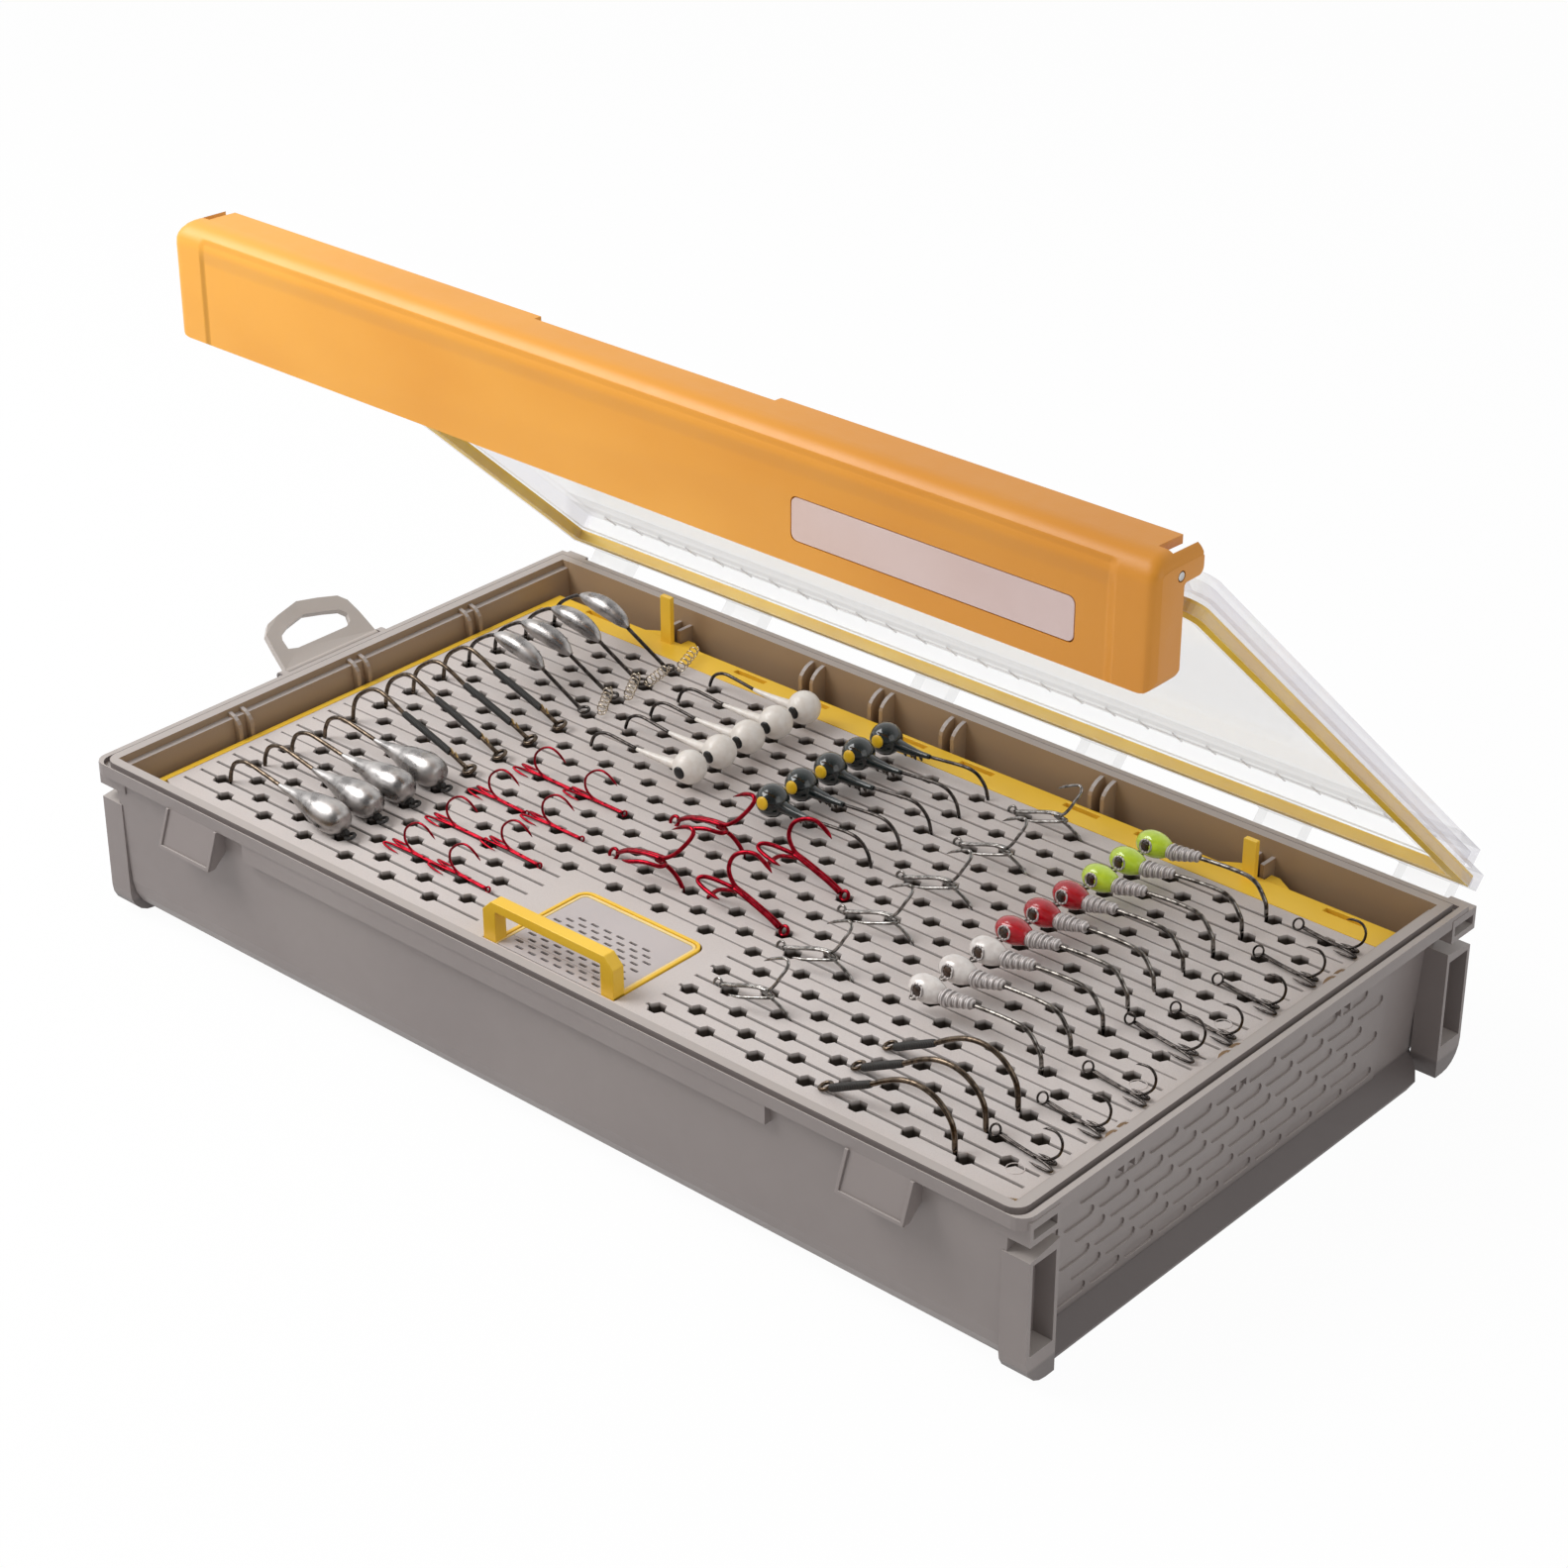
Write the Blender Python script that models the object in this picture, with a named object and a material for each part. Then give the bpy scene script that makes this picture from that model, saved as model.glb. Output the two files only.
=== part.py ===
"""A hinged tackle utility box, open at its photographed angle, with a slitted hook mat on a lift-out tray.

Metres, +Z up. The origin is on the floor under the middle of the box: X runs along the box, the latch
side faces -Y and the hinge side +Y.
"""

import math

import bmesh
import bpy
from mathutils import Matrix, Vector

# Box
inner_length = 0.350
inner_width = 0.1928
base_height = 0.0554
wall = 0.0023
floor_wall = 0.0022
rim_step = 0.0024
rim_depth = 0.0048
end_draft = 0.0034
side_draft = 0.0012
edge_round = 0.014
foot_flare = 0.0067
foot_height = 0.0008
foot_slope = 0.0049
bead_width = 0.0032
groove_width = 0.0014
groove_depth = 0.0015
lip_drop = 0.0008
skirt_end = 0.0065
skirt_front = 0.0049
skirt_back = 0.0066
corner_radius = 0.0045
overrun = 0.004
gap = 0.0003

# Middle band and catches on the front wall
band_left_gap = 0.062
band_right_gap = 0.080
band_drop = 0.0062
band_inset = 0.0004
catch_end_gap = 0.040
catch_width = 0.023
catch_drop = 0.0166
catch_reach = 0.0105
catch_lip = 0.0022
catch_hollow = 0.0045

# Stacking posts and brackets on the four corners
post_width = 0.0121
post_proud = 0.0002
back_post_reach = 0.0094
back_bracket_reach = 0.0106
back_bracket_inset = 0.0085
post_drop = 0.0146
post_wall = 0.0013
post_slope = 0.0018
post_round_share = 0.6
pocket_height = 0.0285
bracket_width = 0.0122
bracket_drop = 0.0097
bracket_inset = 0.0119
slot_top = 0.0047
slot_height = 0.0031
slot_depth = 0.0042

# Divider ribs inside the walls
rib_thickness = 0.0013
rib_gap = 0.0034
rib_reach = 0.0028
back_rib_reach = 0.0062
back_rib_pitch = 0.0586
end_rib_pitch = 0.050
rib_drop = 0.0030
rib_length = 0.034
ledge_size = 0.0075

# Rear hinge
hinge_lift = 0.0066
hinge_back = 0.0034
knuckle_radius = 0.0030
pin_radius = 0.0010
pin_clearance = 0.0003
root_share = 1.6
lid_angle = math.radians(43.56)

# Lid
lid_end = 0.0055
lid_front = 0.0070
lid_back = 0.0054
lid_height = 0.0115
lid_wall = 0.0016
panel_thickness = 0.0018
shoulder_drop = 0.0055
upper_inset = 0.0030
lip_width = 0.0012
gasket_height = 0.0024
ear_width = 0.0034
ear_radius = 0.0030
ear_round_share = 0.95
ear_relief = 0.0010

# Latch
latch_end_reach = 0.0033
latch_pin_reach = 0.0113
latch_pin_height = 0.0050
latch_skin = 0.0024
latch_front = 0.0100
latch_top = 0.0067
latch_back = 0.0090
latch_drop = 0.0284
cheek_drop = 0.0325
cheek_back = 0.0013
cheek_head_drop = 0.0022
cheek_width = 0.0025
latch_round = 0.0065
latch_cut_length = 0.088
latch_cut_depth = 0.0026
hook_width = 0.018
hook_thickness = 0.0026
hook_lip = 0.0012
latch_pin_radius = 0.0012
label_length = 0.0905
label_height = 0.0120
label_end_gap = 0.02355
label_drop = 0.0155
label_thickness = 0.0009
label_radius = 0.0020

# Tray and mat
tray_drop = 0.0092
tray_end_gap = 0.0055
tray_side_gap = 0.00715
tray_floor = 0.0018
mat_thickness = 0.0050
mat_end_gap = 0.0025
back_rail = 0.01065
mat_corner = 0.0065
tab_base = 0.026
tab_end = 0.014
tab_reach = 0.0040
tab_thickness = 0.0022
finger_width = 0.0045
finger_thickness = 0.0018
left_finger_height = 0.0168
right_finger_height = 0.0128
rail_slot_length = 0.013
rail_slot_width = 0.0023
rail_slot_inset = 0.0025
rail_slot_pitch = 0.0677
rail_slot_spread = 0.027
handle_left = -0.0265
handle_right = 0.0250
handle_leg = 0.0050
handle_depth = 0.0043
handle_inset = 0.00395
handle_height = 0.0129
handle_bar = 0.0030
handle_chamfer = 0.0035
slit_width = 0.0007
slit_end_gap = 0.0023
row_pitch = 0.0066
first_row_gap = 0.0068
last_row_gap = 0.0060
notch_left_gap = 0.0118
notch_right_gap = 0.0103

# Desiccant module in the mat
module_left = -0.0230
module_right = 0.0250
module_inset = 0.00875
module_depth = 0.0329
module_radius = 0.0040
module_wall = 0.0013
cover_thickness = 0.0016
vent_length = 0.0031
vent_width = 0.0008
vent_pitch = 0.0050
vent_row_pitch = 0.0035
vent_margin = 0.0040
bare_strip = 0.0120

# Hang tab on the left end
tab_angle = math.radians(35.0)
hang_front = -0.0214
hang_back = 0.0178
hang_reach = 0.0217
hang_thickness = 0.0022
barrel_radius = 0.0016
hang_pin_radius = 0.0007
lug_width = 0.0024
hang_hole_length = 0.0270
hang_hole_height = 0.0100
hang_hole_place = 0.0064

# Outline of the hang tab, as shares of its length along Y and of its reach
hang_shares = (
    (0.0, 0.0), (0.033, 0.41), (0.061, 0.69), (0.145, 0.84), (0.283, 0.91), (0.52, 1.0),
    (0.725, 0.917), (0.903, 0.82), (0.962, 0.69), (0.985, 0.44), (1.0, 0.0),
)
# Its opening, as shares of the opening's length and height from the lower front corner
hole_shares = (
    (0.13, 0.0), (0.0, 0.10), (0.01, 0.46), (0.05, 0.64), (0.21, 0.83), (0.50, 1.0),
    (0.77, 0.82), (0.98, 0.64), (1.04, 0.42), (1.0, 0.13), (0.91, 0.0),
)
# The lid's knuckles and the box's between them, as shares of half the inner length
lid_knuckle_shares = ((-0.98, -0.89), (-0.63, -0.54), (-0.16, -0.08), (0.22, 0.30), (0.60, 0.69), (0.88, 0.98))
base_knuckle_shares = ((-0.87, -0.65), (-0.52, -0.18), (-0.06, 0.20), (0.32, 0.58), (0.71, 0.86))

# Hooks and jigs: how far each reaches along its row, how high its underside rises, its wire and its body
swimbait_sizes = (0.0514, 0.01375, 0.00065, 0.0033)
worm_sizes = (0.0519, 0.0149, 0.0007, 0.0011)
teardrop_sizes = (0.0536, 0.0088, 0.0007, 0.0053)
white_ball_sizes = (0.0468, 0.00595, 0.00055, 0.0055)
black_ball_sizes = (0.0449, 0.00745, 0.00055, 0.00525)
collar_sizes = (0.0458, 0.01015, 0.00065, 0.0042)
wide_gap_sizes = (0.0424, 0.0144, 0.0008, 0.0011)
eye_radius = 0.0017
# Trebles: the shank's length and its rise over the mat, how far a prong reaches, and its wire
chrome_treble_sizes = (0.0135, 0.0036, 0.0100, 0.00055)
red_treble_sizes = (0.0150, 0.0034, 0.0098, 0.0007)

# Side outlines: shares of the reach, of the rise, and of the way from the wire's radius to the body's
swimbait_shares = (
    (0.0, 0.01, 0.0), (0.156, 0.31, 0.0), (0.319, 0.63, 0.0), (0.36, 0.655, 0.47), (0.43, 0.72, 0.89),
    (0.525, 0.80, 1.0), (0.62, 0.865, 0.89), (0.70, 0.93, 0.47), (0.74, 1.0, 0.0), (0.82, 0.89, 0.0),
    (0.92, 0.63, 0.0), (0.99, 0.31, 0.0), (1.0, 0.0, 0.0),
)
worm_shares = (
    (0.0, 0.05, 0.0), (0.135, 0.25, 0.0), (0.145, 0.24, 1.0), (0.516, 0.65, 1.0), (0.526, 0.685, 0.0),
    (0.634, 0.85, 0.0), (0.73, 1.0, 0.0), (0.805, 0.946, 0.0), (0.873, 0.80, 0.0), (0.93, 0.66, 0.0),
    (0.963, 0.46, 0.0), (1.0, 0.0, 0.0),
)
teardrop_shares = (
    (0.0, 0.42, 0.065), (0.022, 0.136, 0.63), (0.075, 0.0, 0.935), (0.16, 0.0, 1.0), (0.26, 0.16, 0.80),
    (0.373, 0.41, 0.43), (0.504, 0.65, 0.11), (0.56, 0.74, 0.0), (0.78, 0.98, 0.0), (0.84, 1.0, 0.0),
    (0.90, 0.92, 0.0), (0.946, 0.75, 0.0), (0.975, 0.50, 0.0), (1.0, 0.0, 0.0),
)
white_ball_shares = (
    (0.0, 0.96, 0.07), (0.032, 0.45, 0.68), (0.115, 0.185, 1.0), (0.2, 0.45, 0.68), (0.23, 0.77, 0.25),
    (0.583, 0.76, 0.03), (0.77, 0.97, 0.0), (0.85, 1.0, 0.0), (0.904, 0.90, 0.0), (0.944, 0.71, 0.0),
    (0.976, 0.445, 0.0), (1.0, 0.0, 0.0),
)
black_ball_shares = (
    (0.0, 0.87, 0.07), (0.033, 0.50, 0.67), (0.116, 0.29, 1.0), (0.2, 0.50, 0.67), (0.23, 0.70, 0.31),
    (0.36, 0.725, 0.22), (0.497, 0.82, 0.05), (0.737, 0.985, 0.0), (0.833, 1.0, 0.0), (0.895, 0.92, 0.0),
    (0.944, 0.705, 0.0), (0.98, 0.41, 0.0), (1.0, 0.0, 0.0),
)
collar_shares = (
    (0.0, 0.64, 0.155), (0.037, 0.48, 0.72), (0.114, 0.42, 1.0), (0.197, 0.49, 0.83), (0.23, 0.60, 0.52),
    (0.474, 0.77, 0.465), (0.485, 0.93, 0.0), (0.646, 0.99, 0.0), (0.81, 1.0, 0.0), (0.878, 0.94, 0.0),
    (0.926, 0.80, 0.0), (0.965, 0.557, 0.0), (0.993, 0.31, 0.0), (1.0, 0.0, 0.0),
)
wide_gap_shares = (
    (0.0, 0.01, 1.0), (0.333, 0.507, 1.0), (0.347, 0.556, 0.27), (0.441, 0.75, 0.0), (0.545, 0.91, 0.0),
    (0.634, 0.986, 0.0), (0.722, 1.0, 0.0), (0.811, 0.94, 0.0), (0.884, 0.81, 0.0), (0.943, 0.64, 0.0),
    (0.979, 0.465, 0.0), (1.0, 0.0, 0.0),
)
# A prong of a treble, as shares of its reach: along the shank's line and away from it
prong_shares = ((-0.10, 0.03), (0.32, 0.10), (0.66, 0.34), (0.80, 0.66), (0.68, 0.96), (0.38, 1.08), (0.05, 1.0))
prong_turns = (math.radians(-16), math.radians(86), math.radians(-100))

# Each kind's rows on the mat, and its eye's or head's place and facing along them, the place as a share
# of half the mat's length
places_share = {
    "swimbait_hook": ((-0.620, -1, (0, 2, 4, 6)),),
    "worm_hook": ((-0.605, -1, (8, 10, 12, 14)),),
    "teardrop_jig": ((-0.584, -1, (16, 18, 20, 22)),),
    "white_ball_jig": ((-0.226, -1, (0, 2, 4, 6, 8)),),
    "black_ball_jig": ((-0.086, 1, (0, 2, 4, 6, 8)),),
    "white_collar_jig": ((0.534, 1, (12, 14, 16)),),
    "red_collar_jig": ((0.526, 1, (6, 8, 10)),),
    "chartreuse_collar_jig": ((0.529, 1, (0, 2, 4)),),
    "wide_gap_hook": ((0.595, 1, (19, 21, 23)),),
    "chrome_treble": ((0.257, 1, (0, 4, 8, 12, 16, 20)),),
    "red_treble": ((-0.150, 1, (11, 15)), (0.210, -1, (11, 15))),
}

arc_steps = 5
circle_steps = 16
pin_steps = 12
ring_steps = 6
shank_share = 1.5
merge = 1e-6
flat_angle = math.radians(0.05)

half_length = inner_length / 2
half_width = inner_width / 2
band_left = -half_length + band_left_gap
band_right = half_length - band_right_gap
catch_place = half_length - catch_end_gap
hinge_y = half_width + skirt_back + hinge_back
hinge_z = base_height - hinge_lift
latch_y = -half_width - lid_front - latch_pin_reach
latch_z = base_height + latch_pin_height
latch_length = inner_length + 2 * latch_end_reach
label_place = latch_length / 2 - label_end_gap - label_length / 2
tray_top = base_height - tray_drop
tray_bottom = tray_top - mat_thickness - tray_floor - gap
tray_length = inner_length - 2 * tray_end_gap
tray_width = inner_width - 2 * tray_side_gap
tab_place = 2 * back_rib_pitch
mat_length = tray_length - 2 * mat_end_gap
mat_back = tray_width / 2 - back_rail
mat_front = -tray_width / 2 + finger_thickness / 2 + gap
handle_place = -tray_width / 2 + handle_inset
module_front = -tray_width / 2 + module_inset
module_back = module_front + module_depth
slit_length = mat_length - 2 * slit_end_gap
first_row = mat_back - first_row_gap
rows = 1 + int((first_row - mat_front - last_row_gap) / row_pitch)
notch_left = module_left - notch_left_gap
notch_right = module_right + notch_right_gap
hang_x = -half_length - skirt_end - barrel_radius - gap
hang_z = base_height - barrel_radius - lip_drop


def material(name, color, roughness, metallic=0.0, transmission=0.0, alpha=1.0):
    made = bpy.data.materials.new(name)
    made.use_nodes = True
    shader = made.node_tree.nodes["Principled BSDF"]
    shader.inputs["Base Color"].default_value = (*color, 1.0)
    shader.inputs["Roughness"].default_value = roughness
    shader.inputs["Metallic"].default_value = metallic
    shader.inputs["Transmission Weight"].default_value = transmission
    shader.inputs["Alpha"].default_value = alpha
    made.diffuse_color = (*color, alpha)
    return made


def add_object(name, mesh):
    obj = bpy.data.objects.new(name, mesh)
    parts.objects.link(obj)
    return obj


def box(name, low, high):
    """A box between two corners."""
    low, high = Vector(low), Vector(high)
    mesh = bmesh.new()
    bmesh.ops.create_cube(mesh, size=1.0)
    bmesh.ops.scale(mesh, vec=high - low, verts=mesh.verts)
    bmesh.ops.translate(mesh, vec=(low + high) / 2, verts=mesh.verts)
    data = bpy.data.meshes.new(name)
    mesh.to_mesh(data)
    mesh.free()
    return add_object(name, data)


def rod(name, radius, start, end, steps=circle_steps):
    """A round bar from one point to another, with closed ends."""
    start, end = Vector(start), Vector(end)
    mesh = bmesh.new()
    bmesh.ops.create_cone(
        mesh, cap_ends=True, segments=steps, radius1=radius, radius2=radius, depth=(end - start).length
    )
    turn = (end - start).to_track_quat("Z", "Y").to_matrix().to_4x4()
    bmesh.ops.transform(mesh, matrix=Matrix.Translation((start + end) / 2) @ turn, verts=mesh.verts)
    data = bpy.data.meshes.new(name)
    mesh.to_mesh(data)
    mesh.free()
    return add_object(name, data)


def plate(name, outlines, low, high, plane="XY"):
    """Flat outlines, the first round the outside and the rest round holes, from low to high across their plane."""
    curve = bpy.data.curves.new(name, "CURVE")
    curve.dimensions = "2D"
    curve.fill_mode = "BOTH"
    curve.extrude = (high - low) / 2
    for outline in outlines:
        spline = curve.splines.new("POLY")
        spline.points.add(len(outline) - 1)
        for point, place in zip(spline.points, outline):
            point.co = (place[0], place[1], 0, 1)
        spline.use_cyclic_u = True
    guide = bpy.data.objects.new(name, curve)
    parts.objects.link(guide)
    graph = bpy.context.evaluated_depsgraph_get()
    data = bpy.data.meshes.new_from_object(guide.evaluated_get(graph))
    bpy.data.objects.remove(guide)
    bpy.data.curves.remove(curve)
    columns = {
        "XY": (Vector((1, 0, 0)), Vector((0, 1, 0)), Vector((0, 0, 1))),
        "XZ": (Vector((1, 0, 0)), Vector((0, 0, 1)), Vector((0, -1, 0))),
        "YZ": (Vector((0, 1, 0)), Vector((0, 0, 1)), Vector((1, 0, 0))),
    }[plane]
    turn = Matrix(columns).transposed().to_4x4()
    middle = columns[2] * ((low + high) / 2)
    if plane == "XZ":
        middle = -middle
    mesh = bmesh.new()
    mesh.from_mesh(data)
    bmesh.ops.remove_doubles(mesh, verts=mesh.verts, dist=merge)
    bmesh.ops.transform(mesh, matrix=Matrix.Translation(middle) @ turn, verts=mesh.verts)
    bmesh.ops.recalc_face_normals(mesh, faces=mesh.faces)
    mesh.to_mesh(data)
    mesh.free()
    return add_object(name, data)


def rounded(corners, steps=arc_steps):
    """An outline from (x, y, radius) corners, each turned into an arc."""
    outline = []
    for index, (x, y, radius) in enumerate(corners):
        here = Vector((x, y))
        if not radius:
            outline.append((x, y))
            continue
        back = Vector(corners[index - 1][:2]) - here
        ahead = Vector(corners[(index + 1) % len(corners)][:2]) - here
        half = back.angle(ahead) / 2
        reach = radius / math.tan(half)
        centre = here + (back.normalized() + ahead.normalized()).normalized() * radius / math.sin(half)
        first = here + back.normalized() * reach - centre
        last = here + ahead.normalized() * reach - centre
        sweep = first.angle_signed(last)
        for step in range(steps + 1):
            turned = first.copy()
            turned.rotate(Matrix.Rotation(-sweep * step / steps, 2))
            outline.append(tuple(centre + turned))
    return outline


def rectangle(left, right, front, back, radius=0.0):
    return rounded([(left, front, radius), (right, front, radius), (right, back, radius), (left, back, radius)])


def rim_outline(end, front, back):
    """The box's plan, this far outside the rim's inner edge, with its front corners rounded."""
    radius = corner_radius
    return rounded(
        [
            (-half_length - end, -half_width - front, radius),
            (half_length + end, -half_width - front, radius),
            (half_length + end, half_width + back, 0.0),
            (-half_length - end, half_width + back, 0.0),
        ]
    )


def combine(target, others, operation):
    """One object from several by Booleans. The others are used up."""
    for other in others:
        cut = target.modifiers.new(other.name, "BOOLEAN")
        cut.operation = operation
        cut.object = other
        graph = bpy.context.evaluated_depsgraph_get()
        mesh = bpy.data.meshes.new_from_object(target.evaluated_get(graph))
        target.modifiers.clear()
        target.data = mesh
        bpy.data.objects.remove(other)
    return target


def fuse(target, *others):
    return combine(target, others, "UNION")


def carve(target, *others):
    return combine(target, others, "DIFFERENCE")


def finish(obj, slot, axis=None, sharp=math.radians(30)):
    """Gives the object its material and smooth shading, and hangs it on its joint's axis."""
    mesh = bmesh.new()
    mesh.from_mesh(obj.data)
    bmesh.ops.remove_doubles(mesh, verts=mesh.verts, dist=merge)
    bmesh.ops.dissolve_limit(mesh, angle_limit=flat_angle, verts=mesh.verts, edges=mesh.edges)
    mesh.to_mesh(obj.data)
    mesh.free()
    obj.data.materials.clear()
    obj.data.materials.append(materials[slot])
    obj.data.shade_smooth()
    obj.data.set_sharp_from_angle(angle=sharp)
    if axis:
        obj.data.transform(Matrix.Translation(-Vector(places[axis.name])))
        obj.parent = axis
    return obj


def joint_axis(name, place, angle=0.0, about="X", parent=None):
    """An empty on a joint's axis. Places are those of the closed box."""
    empty = bpy.data.objects.new(name, None)
    parts.objects.link(empty)
    places[name] = place
    empty.location = Vector(place) - Vector(places[parent.name] if parent else (0, 0, 0))
    empty.rotation_euler = {"X": (angle, 0, 0), "Y": (0, angle, 0)}[about]
    empty.parent = parent
    empty.empty_display_size = knuckle_radius
    return empty


def tub_section(shrink, top, bottom):
    """The box's section across its width, with rounded lower edges."""
    rim = half_width + rim_step - shrink
    foot = rim - side_draft
    radius = edge_round - shrink
    return rounded([(-foot, bottom, radius), (foot, bottom, radius), (rim, top, 0.0), (-rim, top, 0.0)])


def end_section(shrink, top, bottom):
    """The box's section along its length: drafted ends over a flared foot."""
    rim = half_length - shrink
    foot = rim - end_draft
    if shrink:
        return [(-foot, bottom), (foot, bottom), (rim, top), (-rim, top)]
    low = foot_height + foot_slope
    flare = foot + foot_flare
    return [
        (-flare, bottom), (flare, bottom), (flare, foot_height), (foot, low), (rim, top),
        (-rim, top), (-foot, low), (-flare, foot_height),
    ]


def tub():
    """The open box with its rim."""
    shell = plate("shell", [tub_section(0.0, base_height, 0.0)], -inner_length, inner_length, "YZ")
    ends = plate("ends", [end_section(0.0, base_height, 0.0)], -inner_width, inner_width, "XZ")
    combine(shell, [ends], "INTERSECT")
    skirt_top = base_height - lip_drop
    skirt_low = base_height - rim_depth
    bead = plate("bead", [rim_outline(bead_width, bead_width, bead_width)], skirt_low, base_height)
    skirt = plate("skirt", [rim_outline(skirt_end, skirt_front, skirt_back)], skirt_low, skirt_top)
    start, end = bead_width - gap, bead_width + groove_width
    groove = plate(
        "groove",
        [rim_outline(end, end, end), rim_outline(start, start, start)],
        skirt_top - groove_depth,
        skirt_top + overrun,
    )
    carve(skirt, groove)
    return fuse(shell, skirt, bead)


def cavity(shrink):
    """A solid that fills the tub up to this far inside its outer faces."""
    low = floor_wall * shrink / wall
    room = plate("room", [tub_section(shrink, base_height, low)], -inner_length, inner_length, "YZ")
    ends = plate("ends", [end_section(shrink, base_height, low)], -inner_width, inner_width, "XZ")
    return combine(room, [ends], "INTERSECT")


def fuse_inside(base, *pieces):
    """Joins pieces to the tub, trimmed so that they end within its walls."""
    for piece in pieces:
        fuse(base, combine(piece, [cavity(wall / 2)], "INTERSECT"))


def corner_posts(base):
    """A hollow post and a slotted bracket on each corner, for stacking and joining boxes."""
    reach = half_length + skirt_end + post_proud
    top = base_height - post_drop
    for side in (-1, 1):
        for face in (-1, 1):
            outer = face * (half_width + (rim_step if face < 0 else back_post_reach))
            inner = outer - face * post_width
            low, high = sorted((outer, inner))
            section = rounded(
                [
                    (inner, foot_height, 0.0),
                    (outer, foot_height, edge_round * post_round_share),
                    (outer, top, 0.0),
                    (inner, top + post_slope, 0.0),
                ]
            )
            post = plate("post", [section], *sorted((side * (half_length - wall), side * reach)), "YZ")
            mouth = sorted((side * (half_length + gap), side * (reach + overrun)))
            pocket_top = top - post_wall
            pocket = box(
                "pocket",
                (mouth[0], low + post_wall, pocket_top - pocket_height),
                (mouth[1], high - post_wall, pocket_top),
            )
            fuse(base, carve(post, pocket))
            outer = face * (half_width + (rim_step + gap if face < 0 else back_bracket_reach))
            low, high = sorted((outer, outer - face * bracket_width))
            inset = bracket_inset if face < 0 else back_bracket_inset
            ends = sorted((side * (reach - inset), side * reach))
            bracket = box(
                "bracket",
                (ends[0], low, base_height - bracket_drop),
                (ends[1], high, base_height - rim_depth / 2),
            )
            mouth = sorted((side * (reach - slot_depth), side * (reach + overrun)))
            slot = box(
                "slot",
                (mouth[0], low + post_wall, base_height - slot_top - slot_height),
                (mouth[1], high - post_wall, base_height - slot_top),
            )
            fuse(base, bracket)
            carve(base, slot)


def catches(base):
    """Two ramped catches that the latch's hooks close under."""
    face = -half_width - rim_step
    skirt = -half_width - skirt_front
    top = base_height - rim_depth + gap
    low = base_height - catch_drop
    tip = skirt - catch_reach
    section = [
        (face + wall / 2, top),
        (skirt + gap, top),
        (tip, low),
        (tip + catch_lip, low),
        (face + wall / 2, low + catch_hollow),
    ]
    for side in (-1, 1):
        middle = side * catch_place
        fuse(base, plate("catch", [section], middle - catch_width / 2, middle + catch_width / 2, "YZ"))


def ribs(base):
    """Pairs of divider ribs on the back wall and the ends."""
    top = base_height - rib_drop - rim_depth / 2
    low = top - rib_length
    face = half_width + rim_step - wall
    spread = (rib_gap + rib_thickness) / 2
    for index in range(-2, 3):
        for x in (index * back_rib_pitch - spread, index * back_rib_pitch + spread):
            start = (x - rib_thickness / 2, face - back_rib_reach, low)
            fuse_inside(base, box("rib", start, (x + rib_thickness / 2, half_width + rim_step, top)))
    for side in (-1, 1):
        ends = sorted((side * (half_length - wall - rib_reach), side * half_length))
        for index in (-1, 0, 1):
            for y in (index * end_rib_pitch - spread, index * end_rib_pitch + spread):
                start = (ends[0], y - rib_thickness / 2, top - rib_length / 2)
                fuse_inside(base, box("rib", start, (ends[1], y + rib_thickness / 2, top)))


def ledges(base):
    """A shelf in each inner corner that the tray rests on."""
    top = tray_bottom - gap
    for side in (-1, 1):
        for face in (-1, 1):
            ends = sorted((side * half_length, side * (half_length - wall - rib_reach - ledge_size)))
            sides = sorted((face * (half_width + rim_step), face * (half_width - ledge_size - side_draft)))
            fuse_inside(base, box("ledge", (ends[0], sides[0], 0.0), (ends[1], sides[1], top)))


def arc(x, y, radius, start, end, steps=2 * arc_steps):
    """Points on an arc from one angle to another, in degrees."""
    angles = [math.radians(start + (end - start) * step / steps) for step in range(steps + 1)]
    return [(x + radius * math.cos(angle), y + radius * math.sin(angle)) for angle in angles]


def knuckles(target, shares, section):
    """Knuckles of one section, bored for the rear pin."""
    for start, end in shares:
        fuse(target, plate("knuckle", [section], start * half_length, end * half_length, "YZ"))
    bore = pin_radius + pin_clearance
    length = half_length + overrun
    return carve(target, rod("bore", bore, (-length, hinge_y, hinge_z), (length, hinge_y, hinge_z)))


def base_knuckle():
    """A knuckle of the box, on its web to the back wall."""
    root = half_width + rim_step - wall / 2
    return [
        *arc(hinge_y, hinge_z, knuckle_radius, -90, 90),
        (root, hinge_z + knuckle_radius),
        (root, hinge_z - knuckle_radius * root_share),
    ]


def lid_knuckle():
    """A knuckle of the lid, with its arm up to the lid's back wall."""
    top = base_height + shoulder_drop - gap
    root = half_width + lid_back - lid_wall / 2
    return [
        *arc(hinge_y, hinge_z, knuckle_radius, -180, 0),
        (hinge_y + knuckle_radius, base_height + lid_wall),
        (hinge_y, top),
        (root, top),
        (root, base_height + gap),
        (hinge_y - knuckle_radius, base_height + gap),
    ]


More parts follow.
